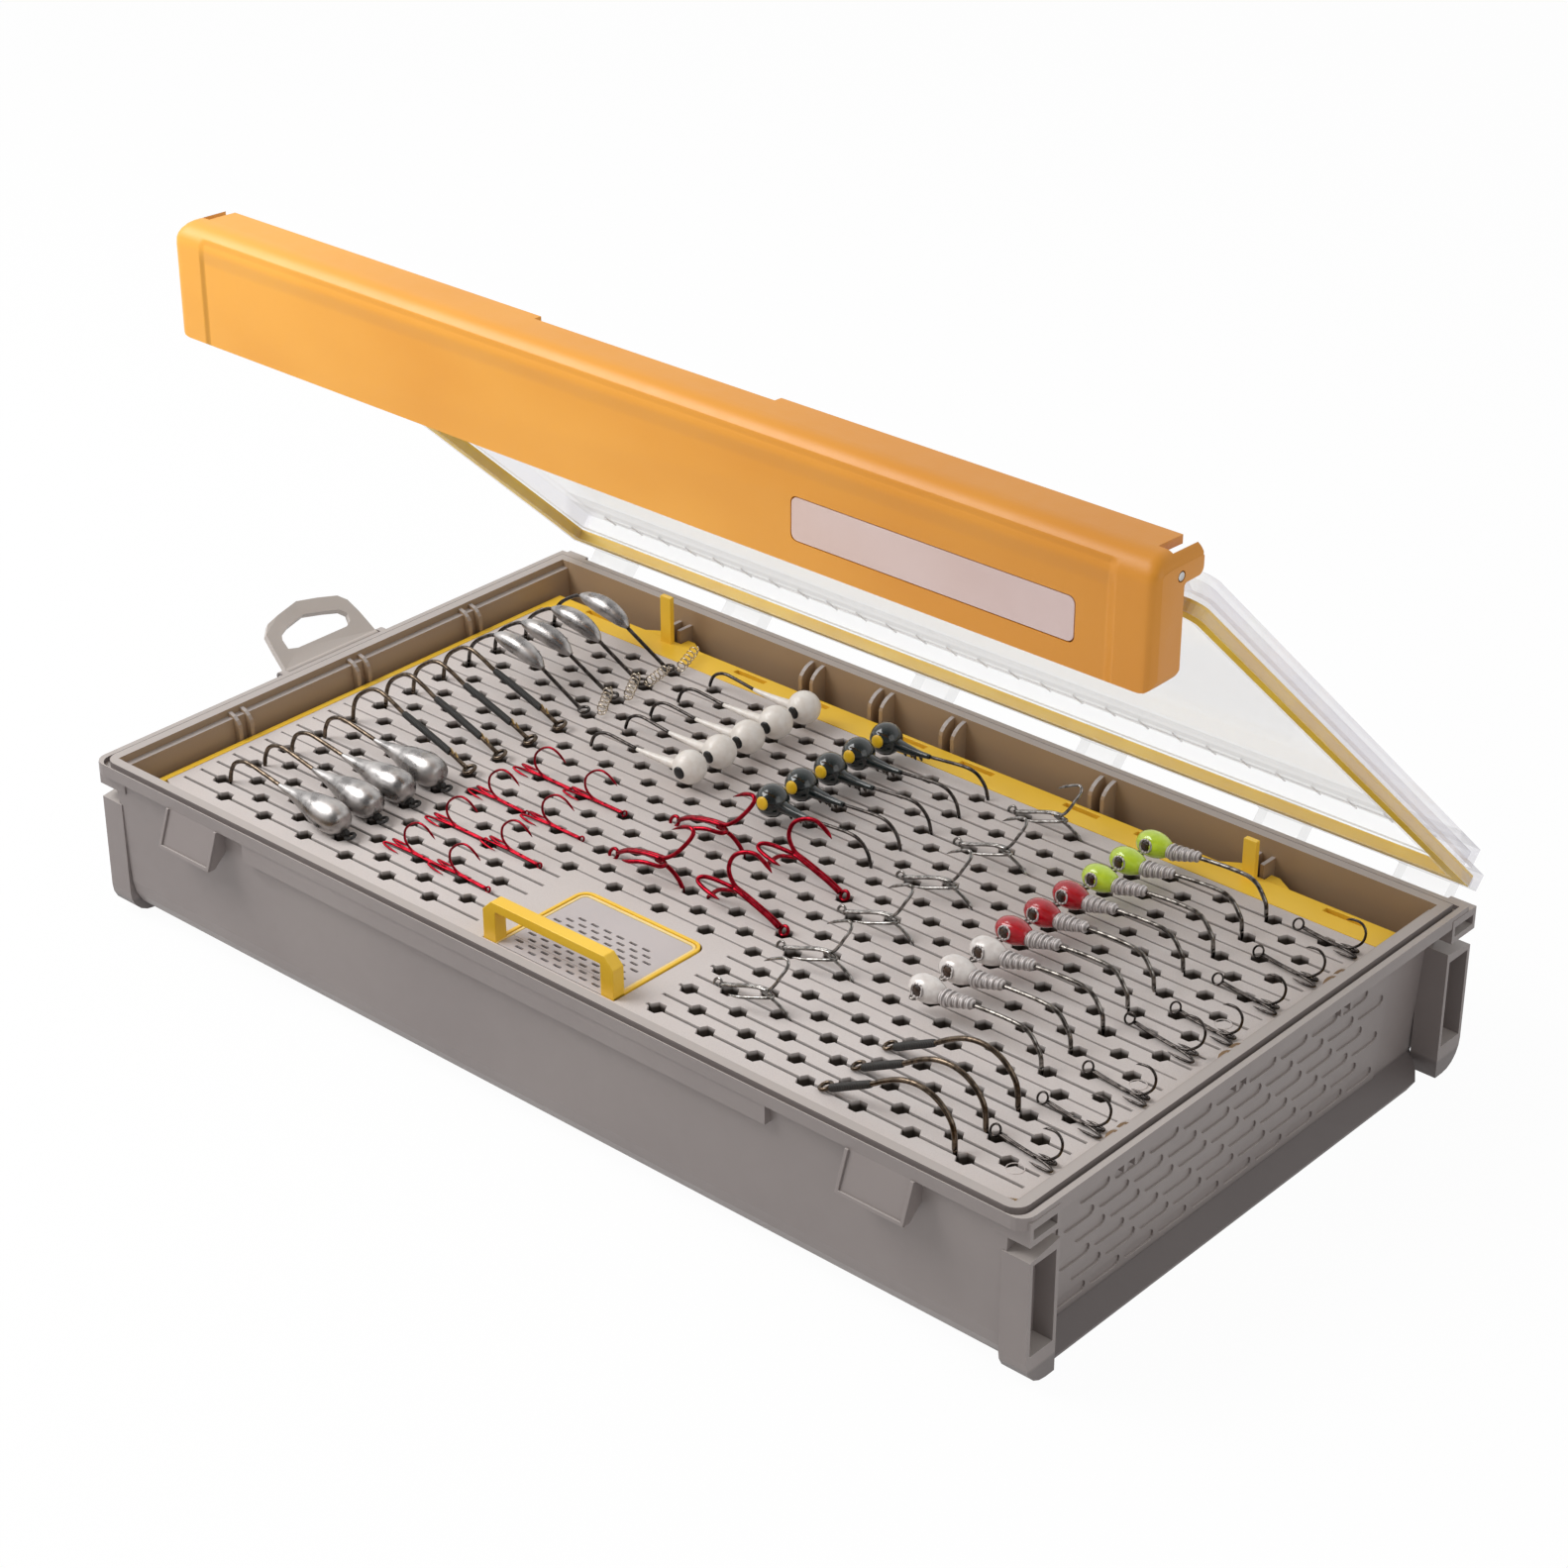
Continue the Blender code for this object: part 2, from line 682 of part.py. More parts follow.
def hang_lugs(base):
    """Two bored lugs that hold the hang tab's pin."""
    root = -half_length - skirt_end + wall / 2
    section = [
        *arc(hang_x, hang_z, barrel_radius, 90, 270),
        (root, hang_z - barrel_radius),
        (root, hang_z + barrel_radius),
    ]
    for edge, side in ((hang_front, -1), (hang_back, 1)):
        near, far = sorted((edge + side * gap, edge + side * (gap + lug_width)))
        fuse(base, plate("lug", [section], near, far, "XZ"))
    reach = lug_width + overrun
    start, end = hang_front - reach, hang_back + reach
    return carve(base, rod("bore", hang_pin_radius + pin_clearance, (hang_x, start, hang_z), (hang_x, end, hang_z)))


def box_base():
    base = tub()
    face = -half_width - rim_step
    skirt_low = base_height - rim_depth
    fuse(
        base,
        box(
            "band",
            (band_left, -half_width - skirt_front + band_inset, skirt_low - band_drop),
            (band_right, face + wall / 2, skirt_low + gap),
        ),
    )
    catches(base)
    corner_posts(base)
    carve(base, cavity(wall))
    mouth = plate(
        "mouth", [rectangle(-half_length, half_length, -half_width, half_width)],
        base_height - rim_depth / 2, base_height + overrun,
    )
    carve(base, mouth)
    ribs(base)
    ledges(base)
    knuckles(base, base_knuckle_shares, base_knuckle())
    hang_lugs(base)
    base.name = "box_base"
    return finish(base, "grey_plastic")


def lid(axis):
    """The clear lid: a panel in a stepped frame, with a groove for the gasket and ears for the latch."""
    low = base_height + gap
    shoulder = base_height + shoulder_drop
    top = base_height + lid_height
    shelf_low = low + gasket_height + gap
    shelf_top = shelf_low + lid_wall
    frame = (lid_end, lid_front, lid_back)

    def inset(value):
        return rim_outline(*(reach - value for reach in frame))

    lip_inner = -gap - lip_width
    body = plate("frame", [inset(0.0)], low, shoulder)
    fuse(body, plate("crown", [inset(upper_inset)], shelf_low, top))
    carve(
        body,
        plate("room", [inset(upper_inset + lid_wall)], shelf_top, top - panel_thickness),
        plate("mouth", [rim_outline(lip_inner, lip_inner, lip_inner)], low - overrun, shelf_top + gap),
        plate("groove", [inset(lid_wall), rim_outline(-gap, -gap, -gap)], low - overrun, shelf_low),
    )
    ear_end = latch_length / 2 - cheek_width - gap
    root = -half_width - lid_front + lid_wall / 2
    arm = rounded(
        [
            (root, low + lip_drop, 0.0),
            (root, shoulder, 0.0),
            (latch_y + ear_radius, latch_z + ear_radius, 0.0),
            (latch_y - ear_radius, latch_z + ear_radius, ear_radius * ear_round_share),
            (latch_y - ear_radius, latch_z - ear_radius, ear_radius * ear_round_share),
        ]
    )
    for side in (-1, 1):
        ends = sorted((side * ear_end, side * (ear_end - ear_width)))
        fuse(body, plate("ear", [arm], *ends, "YZ"))
    bore = latch_pin_radius + pin_clearance
    carve(body, rod("bore", bore, (-latch_length, latch_y, latch_z), (latch_length, latch_y, latch_z)))
    knuckles(body, lid_knuckle_shares, lid_knuckle())
    body.name = "lid"
    return finish(body, "clear_plastic", axis)


def gasket(axis):
    """The seal in the lid's groove, over the rim's bead."""
    low = base_height + gap
    outer = tuple(value - lid_wall - gap for value in (lid_end, lid_front, lid_back))
    seal = plate("lid_gasket", [rim_outline(*outer), rim_outline(0.0, 0.0, 0.0)], low, low + gasket_height)
    return finish(seal, "yellow_rubber", axis)


def hinge_pin(axis):
    length = half_length * max(lid_knuckle_shares[-1]) + gap
    pin = rod("hinge_pin", pin_radius, (-length, hinge_y, hinge_z), (length, hinge_y, hinge_z), steps=pin_steps)
    return finish(pin, "steel", axis)


def latch_section():
    """The latch's skin in section: a top and a front with a rounded edge between them."""
    back = latch_y + latch_back
    front = latch_y - latch_front
    top = latch_z + latch_top
    low = latch_z - latch_drop
    skin = latch_skin
    return rounded(
        [
            (back, top - lip_drop, 0.0),
            (front, top, latch_round),
            (front, low, 0.0),
            (front + skin, low, 0.0),
            (front + skin, top - skin, latch_round - skin),
            (back, top - skin - lip_drop, 0.0),
        ]
    )


def cheek_section():
    """The end of the latch: a head over the pin and a leg down the front."""
    back = latch_y + latch_back
    front = latch_y - latch_front
    top = latch_z + latch_top
    low = latch_z - cheek_drop
    heel = latch_y + cheek_back
    head = latch_z - cheek_head_drop
    small = latch_round - cheek_width
    return rounded(
        [
            (back, top - lip_drop, small / 2),
            (front, top, latch_round),
            (front, low, small / 2),
            (heel, low, small / 2),
            (heel, head, small / 4),
            (back, head, small / 2),
        ]
    )


def latch(axis):
    """The full-width latch: a skin between two cheeks, with a hook for each catch."""
    half = latch_length / 2
    body = plate("latch_skin", [latch_section()], -half + gap, half - gap, "YZ")
    for side in (-1, 1):
        ends = sorted((side * half, side * (half - cheek_width)))
        fuse(body, plate("cheek", [cheek_section()], *ends, "YZ"))
    front = latch_y - latch_front
    catch_low = base_height - catch_drop
    catch_tip = -half_width - skirt_front - catch_reach
    hook = [
        (front + latch_skin / 2, catch_low - gap - hook_lip),
        (catch_tip + catch_lip, catch_low - gap - hook_lip / 2),
        (catch_tip + catch_lip + hook_lip, catch_low - gap),
        (catch_tip + catch_lip + hook_lip * 2, catch_low - gap - hook_lip),
        (catch_tip + catch_lip + hook_lip, catch_low - gap - hook_thickness),
        (front + latch_skin / 2, catch_low - gap - hook_lip - hook_thickness),
    ]
    for side in (-1, 1):
        middle = side * catch_place
        fuse(body, plate("hook", [hook], middle - hook_width / 2, middle + hook_width / 2, "YZ"))
    back = latch_y + latch_back
    notch = box(
        "notch",
        (-latch_cut_length / 2, back - latch_cut_depth, latch_z),
        (latch_cut_length / 2, back + overrun, latch_z + latch_top + overrun),
    )
    bore = latch_pin_radius + pin_clearance
    pin_bore = rod("bore", bore, (-half - overrun, latch_y, latch_z), (half + overrun, latch_y, latch_z))
    middle = latch_z - label_drop
    window = rectangle(
        label_place - label_length / 2 - gap, label_place + label_length / 2 + gap,
        middle - label_height / 2 - gap, middle + label_height / 2 + gap, label_radius,
    )
    recess = plate("recess", [window], front - overrun, front + label_thickness + gap, "XZ")
    carve(body, notch, pin_bore, recess)
    ear_end = half - cheek_width - gap
    for side in (-1, 1):
        ends = sorted((side * (ear_end - ear_width - gap), side * (ear_end + 2 * gap)))
        relief = box(
            "relief",
            (ends[0], latch_y - ear_relief, latch_z + bore + gap),
            (ends[1], back + overrun, latch_z + latch_top + overrun),
        )
        carve(body, relief)
    body.name = "latch"
    return finish(body, "orange_plastic", axis)


def label_window(axis):
    """The frosted panel let into the latch's front."""
    front = latch_y - latch_front
    middle = latch_z - label_drop
    outline = rectangle(
        label_place - label_length / 2, label_place + label_length / 2,
        middle - label_height / 2, middle + label_height / 2, label_radius,
    )
    window = plate("label_window", [outline], front, front + label_thickness, "XZ")
    return finish(window, "frosted_plastic", axis)


def latch_pins(axis):
    """Two short pins that carry the latch in the lid's ears."""
    ear_end = latch_length / 2 - cheek_width - gap
    for name, side in (("latch_pin_left", -1), ("latch_pin_right", 1)):
        start, end = side * (ear_end - ear_width), side * latch_length / 2
        pin = rod(name, latch_pin_radius, (start, latch_y, latch_z), (end, latch_y, latch_z), pin_steps)
        finish(pin, "steel", axis)


def tray(axis):
    """The lift-out tray: a pan for the mat, a slotted back rail, two fingered tabs and a handle."""
    half = tray_length / 2
    side = tray_width / 2
    top = tray_top
    pan = box("tray", (-half, -side, tray_bottom), (half, side, top))
    mat_half = mat_length / 2 + gap
    pocket = box(
        "pocket",
        (-mat_half, -side + finger_thickness / 2, top - mat_thickness - gap),
        (mat_half, mat_back + gap, top + overrun),
    )
    carve(pan, pocket)
    handle(pan)
    finger_y = side - finger_thickness
    for sign, height in ((-1, left_finger_height), (1, right_finger_height)):
        middle = sign * tab_place
        tab = [
            (middle - tab_base / 2, side - wall),
            (middle + tab_base / 2, side - wall),
            (middle + tab_base / 2, side),
            (middle + tab_end / 2, side + tab_reach),
            (middle - tab_end / 2, side + tab_reach),
            (middle - tab_base / 2, side),
        ]
        fuse(pan, plate("tab", [tab], top - tab_thickness, top - gap))
        rib = sign * 2 * back_rib_pitch
        notch_half = rib_gap / 2 + rib_thickness + tray_floor / 2
        notch = box(
            "notch",
            (rib - notch_half, side, top - tab_thickness - overrun),
            (rib + notch_half, side + tab_base, top + overrun),
        )
        carve(pan, notch)
        finger = box(
            "finger",
            (middle - finger_width / 2, finger_y - finger_thickness / 2, top - tab_thickness),
            (middle + finger_width / 2, finger_y + finger_thickness / 2, top + height),
        )
        fuse(pan, finger)
    slot_y = side - rail_slot_inset
    for index in range(-2, 3):
        for step in (-1, 1):
            x = index * rail_slot_pitch + step * rail_slot_spread / 2 + tray_floor
            if abs(x) + rail_slot_length > half:
                continue
            if abs(abs(x) - tab_place) < rail_slot_length:
                continue
            slot = box(
                "rail_slot",
                (x - rail_slot_length / 2, slot_y - rail_slot_width / 2, tray_bottom - overrun),
                (x + rail_slot_length / 2, slot_y + rail_slot_width / 2, top + overrun),
            )
            carve(pan, slot)
    return finish(pan, "yellow_plastic", axis)


def handle(pan):
    """The tray's lifting handle, a bar on two legs at the front."""
    top = tray_top + handle_height
    low = tray_bottom + tray_floor / 2
    outline = [
        (handle_left, low),
        (handle_left, top - handle_chamfer),
        (handle_left + handle_chamfer, top),
        (handle_right - handle_chamfer, top),
        (handle_right, top - handle_chamfer),
        (handle_right, low),
        (handle_right - handle_leg, low),
        (handle_right - handle_leg, top - handle_bar),
        (handle_left + handle_leg, top - handle_bar),
        (handle_left + handle_leg, low),
    ]
    fuse(pan, plate("handle", [outline], handle_place, handle_place + handle_depth, "XZ"))


def hook_mat(axis):
    """The soft mat: slit rows that grip the hooks, with a window for the module and gaps for the handle."""
    half = mat_length / 2
    outline = [
        (-half + mat_corner, mat_front),
        (half - mat_corner, mat_front),
        (half, mat_front + mat_corner / 2),
        (half, mat_back),
        (-half, mat_back),
        (-half, mat_front + mat_corner / 2),
    ]
    low = tray_top - mat_thickness
    window = rectangle(
        module_left - gap, module_right + gap, module_front - gap, module_back + gap, module_radius
    )
    mat = plate("hook_mat", [outline, window], low, tray_top)
    for side in (handle_left, handle_right - handle_leg):
        leg = box(
            "leg",
            (side - gap, handle_place - gap, low - overrun),
            (side + handle_leg + gap, handle_place + handle_depth + gap, tray_top + overrun),
        )
        carve(mat, leg)
    for row in range(rows):
        y = first_row - row * row_pitch
        runs = [(-slit_length / 2, slit_length / 2)]
        if y < module_back + module_wall:
            runs = [(-slit_length / 2, notch_left), (notch_right, slit_length / 2)]
        for start, end in runs:
            low_corner = (start, y - slit_width / 2, low - overrun)
            carve(mat, box("slit", low_corner, (end, y + slit_width / 2, tray_top + overrun)))
    return finish(mat, "grey_rubber", axis)


def module_frame(axis):
    """A shallow cup in the mat for the drying pack."""
    low = tray_top - mat_thickness
    cup = plate(
        "module_frame",
        [rectangle(module_left, module_right, module_front, module_back, module_radius)], low, tray_top,
    )
    inner = rectangle(
        module_left + module_wall, module_right - module_wall,
        module_front + module_wall, module_back - module_wall, module_radius - module_wall,
    )
    carve(cup, plate("well", [inner], low + module_wall / 2, tray_top + overrun))
    return finish(cup, "yellow_plastic", axis)


def module_cover(axis):
    """The vented cover over the drying pack."""
    edge = module_wall + gap
    top = tray_top - gap
    cover = plate(
        "module_cover",
        [
            rectangle(
                module_left + edge, module_right - edge, module_front + edge, module_back - edge, module_radius - edge
            )
        ],
        top - cover_thickness,
        top,
    )
    count = int((module_right - module_left - 2 * vent_margin) / vent_pitch)
    depth = module_back - module_front - bare_strip - vent_margin
    lines = int(depth / vent_row_pitch)
    middle = (module_left + module_right) / 2
    for line in range(lines):
        y = module_front + vent_margin + line * vent_row_pitch
        shift = vent_pitch / 4 if line % 2 else -vent_pitch / 4
        for index in range(count):
            x = middle + shift + (index - (count - 1) / 2) * vent_pitch
            vent = box(
                "vent",
                (x - vent_length / 2, y - vent_width / 2, top - cover_thickness - overrun),
                (x + vent_length / 2, y + vent_width / 2, top + overrun),
            )
            carve(cover, vent)
    return finish(cover, "grey_plastic", axis)


def desiccant_pack(axis):
    """The drying pack in the cup."""
    low = tray_top - mat_thickness + module_wall / 2 + gap
    high = tray_top - gap - cover_thickness - gap
    edge = module_wall + vent_margin / 2
    pack = box(
        "desiccant_pack",
        (module_left + edge, module_front + edge, low),
        (module_right - edge, module_back - edge, high),
    )
    return finish(pack, "white_paper", axis)


def hang_tab(axis):
    """The folding tab with its hanging hole, on a barrel round the pin."""
    length = hang_back - hang_front
    outline = [(hang_x - share * hang_reach, hang_front + along * length) for along, share in hang_shares]
    start = hang_front + (length - hang_hole_length) / 2
    hole = [
        (hang_x - hang_hole_place - share * hang_hole_height, start + along * hang_hole_length)
        for along, share in hole_shares
    ]
    half = hang_thickness / 2
    tab = plate("hang_tab", [outline, hole], hang_z - half, hang_z + half)
    fuse(tab, rod("barrel", barrel_radius, (hang_x, hang_front, hang_z), (hang_x, hang_back, hang_z)))
    bore = hang_pin_radius + pin_clearance
    ends = (hang_front - overrun, hang_back + overrun)
    carve(tab, rod("bore", bore, (hang_x, ends[0], hang_z), (hang_x, ends[1], hang_z)))
    return finish(tab, "grey_plastic", axis)


def hang_pin():
    reach = gap + lug_width
    ends = (hang_front - reach, hang_back + reach)
    pin = rod("hang_tab_pin", hang_pin_radius, (hang_x, ends[0], hang_z), (hang_x, ends[1], hang_z), pin_steps)
    return finish(pin, "steel")


def tube(name, stations, sides=4, closed=False):
    """A bar of changing thickness through (place, radius) stations, or a ring through them."""
    curve = bpy.data.curves.new(name, "CURVE")
    curve.dimensions = "3D"
    curve.bevel_depth = max(radius for place, radius in stations)
    curve.bevel_resolution = (sides - 4) // 2
    curve.use_fill_caps = not closed
    spline = curve.splines.new("POLY")
    spline.points.add(len(stations) - 1)
    spline.use_cyclic_u = closed
    for point, (place, radius) in zip(spline.points, stations):
        point.co = (*place, 1)
        point.radius = radius / curve.bevel_depth
    guide = bpy.data.objects.new(name, curve)
    parts.objects.link(guide)
    graph = bpy.context.evaluated_depsgraph_get()
    data = bpy.data.meshes.new_from_object(guide.evaluated_get(graph))
    bpy.data.objects.remove(guide)
    bpy.data.curves.remove(curve)
    mesh = bmesh.new()
    mesh.from_mesh(data)
    bmesh.ops.remove_doubles(mesh, verts=mesh.verts, dist=merge)
    bmesh.ops.recalc_face_normals(mesh, faces=mesh.faces)
    mesh.to_mesh(data)
    mesh.free()
    return add_object(name, data)


def eye(name, radius, middle, height):
    """A hook's eye, a ring of wire round a hole along Y."""
    stations = []
    for step in range(ring_steps):
        angle = math.tau * step / ring_steps
        place = (middle + eye_radius * math.cos(angle), 0.0, height + eye_radius * math.sin(angle))
        stations.append((place, radius))
    return tube(name, stations, closed=True)


def hook(name, sizes, shares, sides=4, eyed=False):
    """A hook or jig in its row's upright plane, from its eye or head along +X, over the mat at zero."""
    reach, rise, wire, bulge = sizes
    stations = []
    for along, height, swell in shares:
        radius = wire + swell * (bulge - wire)
        stations.append(((along * reach, 0.0, gap + radius + height * rise), radius))
    made = tube(name, stations, sides)
    if eyed:
        start = stations[0][0]
        fuse(made, eye(name, wire, start[0] - eye_radius, max(start[2], eye_radius + wire + gap)))
    return made


def treble(name, sizes):
    """Three prongs on one shank, its eye at the origin and its knuckle raised off the mat."""
    length, rise, reach, wire = sizes
    start = Vector((0, 0, eye_radius + wire + gap))
    knuckle = Vector((length, 0, start.z + rise))
    along = (knuckle - start).normalized()
    side = Vector((0, 1, 0))
    out = along.cross(side)
    made = tube(name, [(start + along * eye_radius, wire * shank_share), (knuckle, wire * shank_share)])
    for turn in prong_turns:
        away = out * math.cos(turn) + side * math.sin(turn)
        stations = [(knuckle + (along * a + away * b) * reach, wire) for a, b in prong_shares]
        fuse(made, tube(name, stations))
    return fuse(made, eye(name, wire, start.x, start.z))


def tackle(axis):
    """The hooks and jigs on the mat, each kind in its rows."""
    kinds = {
        "swimbait_hook": (hook("swimbait", swimbait_sizes, swimbait_shares, 6), "black_steel"),
        "worm_hook": (hook("worm", worm_sizes, worm_shares, eyed=True), "black_steel"),
        "teardrop_jig": (hook("teardrop", teardrop_sizes, teardrop_shares, 6), "lead"),
        "white_ball_jig": (hook("white_ball", white_ball_sizes, white_ball_shares, 6), "white_paint"),
        "black_ball_jig": (hook("black_ball", black_ball_sizes, black_ball_shares, 6), "black_paint"),
        "white_collar_jig": (hook("white_collar", collar_sizes, collar_shares, 6), "white_paint"),
        "red_collar_jig": (hook("red_collar", collar_sizes, collar_shares, 6), "red_paint"),
        "chartreuse_collar_jig": (hook("chartreuse", collar_sizes, collar_shares, 6), "chartreuse_paint"),
        "wide_gap_hook": (hook("wide_gap", wide_gap_sizes, wide_gap_shares, eyed=True), "bronze_steel"),
        "chrome_treble": (treble("chrome", chrome_treble_sizes), "steel"),
        "red_treble": (treble("red", red_treble_sizes), "red_steel"),
    }
    for kind, (shape, slot) in kinds.items():
        seats = [
            (share, facing, row) for share, facing, chosen in places_share[kind] for row in chosen if row < rows
        ]
        for number, (share, facing, row) in enumerate(seats, start=1):
            copy = add_object(f"{kind}_{number}", shape.data.copy())
            turn = Matrix.Rotation(0 if facing > 0 else math.pi, 4, "Z")
            place = Vector((share * mat_length / 2, first_row - row * row_pitch, tray_top))
            copy.data.transform(Matrix.Translation(place) @ turn)
            finish(copy, slot, axis)
        bpy.data.objects.remove(shape)

for old in list(bpy.data.objects):
    bpy.data.objects.remove(old)
parts = bpy.data.collections.new("hook_box")
bpy.context.scene.collection.children.link(parts)
places = {}
materials = {
    "grey_plastic": material("grey_plastic", (0.315, 0.275, 0.250), 0.45),
    "clear_plastic": material("clear_plastic", (0.93, 0.93, 0.97), 0.06, transmission=0.9, alpha=0.35),
    "yellow_rubber": material("yellow_rubber", (0.72, 0.48, 0.03), 0.5),
    "orange_plastic": material("orange_plastic", (0.86, 0.37, 0.045), 0.42),
    "frosted_plastic": material("frosted_plastic", (0.74, 0.52, 0.50), 0.4),
    "yellow_plastic": material("yellow_plastic", (0.86, 0.50, 0.02), 0.38),
    "grey_rubber": material("grey_rubber", (0.42, 0.39, 0.37), 0.6),
    "white_paper": material("white_paper", (0.85, 0.85, 0.83), 0.8),
    "steel": material("steel", (0.62, 0.61, 0.60), 0.25, metallic=1.0),
    "black_steel": material("black_steel", (0.07, 0.065, 0.06), 0.3, metallic=1.0),
    "red_steel": material("red_steel", (0.55, 0.03, 0.05), 0.3, metallic=0.8),
    "bronze_steel": material("bronze_steel", (0.20, 0.14, 0.08), 0.3, metallic=1.0),
    "lead": material("lead", (0.50, 0.50, 0.51), 0.35, metallic=1.0),
    "white_paint": material("white_paint", (0.86, 0.84, 0.80), 0.3),
    "black_paint": material("black_paint", (0.02, 0.035, 0.03), 0.25),
    "red_paint": material("red_paint", (0.70, 0.02, 0.03), 0.25),
    "chartreuse_paint": material("chartreuse_paint", (0.62, 0.90, 0.05), 0.3),
}

hinge_axis = joint_axis("hinge_axis", (0, hinge_y, hinge_z), -lid_angle)
latch_axis = joint_axis("latch_axis", (0, latch_y, latch_z), lid_angle, parent=hinge_axis)
tilt_axis = joint_axis("tilt_axis", (0, tray_width / 2 + tab_reach, base_height))
tab_axis = joint_axis("tab_axis", (hang_x, (hang_front + hang_back) / 2, hang_z), tab_angle, about="Y")

box_base()
lid(hinge_axis)
gasket(hinge_axis)
hinge_pin(hinge_axis)
latch(latch_axis)
label_window(latch_axis)
latch_pins(latch_axis)
tray(tilt_axis)
hook_mat(tilt_axis)
module_frame(tilt_axis)
module_cover(tilt_axis)
desiccant_pack(tilt_axis)
tackle(tilt_axis)
hang_tab(tab_axis)
hang_pin()
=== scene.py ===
"""Looks of the tackle box: finishes, the slit mat, hooks and jigs, moulded details, light and camera."""
import math
import random

import bmesh
import bpy
from mathutils import Matrix, Vector


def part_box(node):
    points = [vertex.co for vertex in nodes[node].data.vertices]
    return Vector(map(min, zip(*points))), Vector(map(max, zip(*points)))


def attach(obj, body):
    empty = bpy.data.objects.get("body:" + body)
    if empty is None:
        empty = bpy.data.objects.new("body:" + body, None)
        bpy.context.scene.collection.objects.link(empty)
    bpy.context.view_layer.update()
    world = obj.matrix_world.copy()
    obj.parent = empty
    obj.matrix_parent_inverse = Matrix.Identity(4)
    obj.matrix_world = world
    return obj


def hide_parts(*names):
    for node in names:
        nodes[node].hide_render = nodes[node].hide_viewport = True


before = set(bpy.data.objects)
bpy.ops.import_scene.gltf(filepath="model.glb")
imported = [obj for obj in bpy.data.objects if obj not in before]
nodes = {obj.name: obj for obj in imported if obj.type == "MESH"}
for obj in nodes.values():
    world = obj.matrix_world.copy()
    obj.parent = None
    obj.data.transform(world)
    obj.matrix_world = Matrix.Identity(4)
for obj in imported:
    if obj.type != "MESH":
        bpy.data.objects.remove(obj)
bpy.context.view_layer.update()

mm = 0.001
mat_low, mat_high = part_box("hook_mat")
latch_low, latch_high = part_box("latch")
mat_top = mat_high.z
first_row = mat_high.y - 6.8 * mm
row_pitch = 6.6 * mm
row_count = 24
hinge_place = Vector((0.0, 106.4 * mm, 48.8 * mm))
lid_angle = math.radians(43.56)
# Two levels between which the end walls' slope is taken
low_level, high_level = 9.0 * mm, 38.0 * mm
lid_open = (
    Matrix.Translation(hinge_place) @ Matrix.Rotation(-lid_angle, 4, "X") @ Matrix.Translation(-hinge_place)
)


def hit(node_name, origin, direction):
    """Where a line first meets a CAD node."""
    return nodes[node_name].ray_cast(Vector(origin), Vector(direction))[1]


def wall_middle(level):
    """How far out the middle of the box's end wall is, at a level."""
    inner = hit("box_base", (0.1, 0.0, level), (1, 0, 0)).x
    outer = hit("box_base", (0.3, 0.0, level), (-1, 0, 0)).x
    return (inner + outer) / 2


# Finishes

class Link:
    """A node's socket that adds nodes where Python works on it."""

    def __init__(self, tree, socket):
        self.tree = tree
        self.socket = socket

    def __add__(self, other):
        return self.math("ADD", self, other)

    def __radd__(self, other):
        return self.math("ADD", other, self)

    def __sub__(self, other):
        return self.math("SUBTRACT", self, other)

    def __rsub__(self, other):
        return self.math("SUBTRACT", other, self)

    def __mul__(self, other):
        return self.math("MULTIPLY", self, other)

    def __abs__(self):
        return self.math("ABSOLUTE", self)

    def larger(self, other):
        return self.math("MAXIMUM", self, other)

    def math(self, operation, *values):
        return self.tree.add("Math", {"operation": operation}, dict(enumerate(values)))

    def above(self, level, softness):
        """0 below a level and 1 above it, with a soft step."""
        return self.tree.add(
            "MapRange", {"interpolation_type": "SMOOTHSTEP"},
            {"Value": self, "From Min": level - softness, "From Max": level + softness},
        )


class Tree:
    """A node tree that values and links are put into."""

    def __init__(self, tree):
        self.nodes = tree.nodes
        self.links = tree.links

    def set(self, node, values):
        for name, value in values.items():
            socket = node.inputs[name.replace("_", " ") if isinstance(name, str) else name]
            if isinstance(value, Link):
                self.links.new(value.socket, socket)
            elif isinstance(value, tuple) and len(value) == 3 and socket.type == "RGBA":
                socket.default_value = (*value, 1.0)
            else:
                socket.default_value = value

    def add(self, kind, settings=None, values=None, output=0):
        """A new node's output, as a link. kind leaves out ShaderNode."""
        node = self.nodes.new("ShaderNode" + kind)
        for name, value in (settings or {}).items():
            setattr(node, name, value)
        self.set(node, values or {})
        return Link(self, node.outputs[output])

    def rays(self, *names):
        """What the light path says about a ray."""
        node = self.nodes.new("ShaderNodeLightPath")
        return [Link(self, node.outputs[f"Is {name} Ray"]) for name in names]


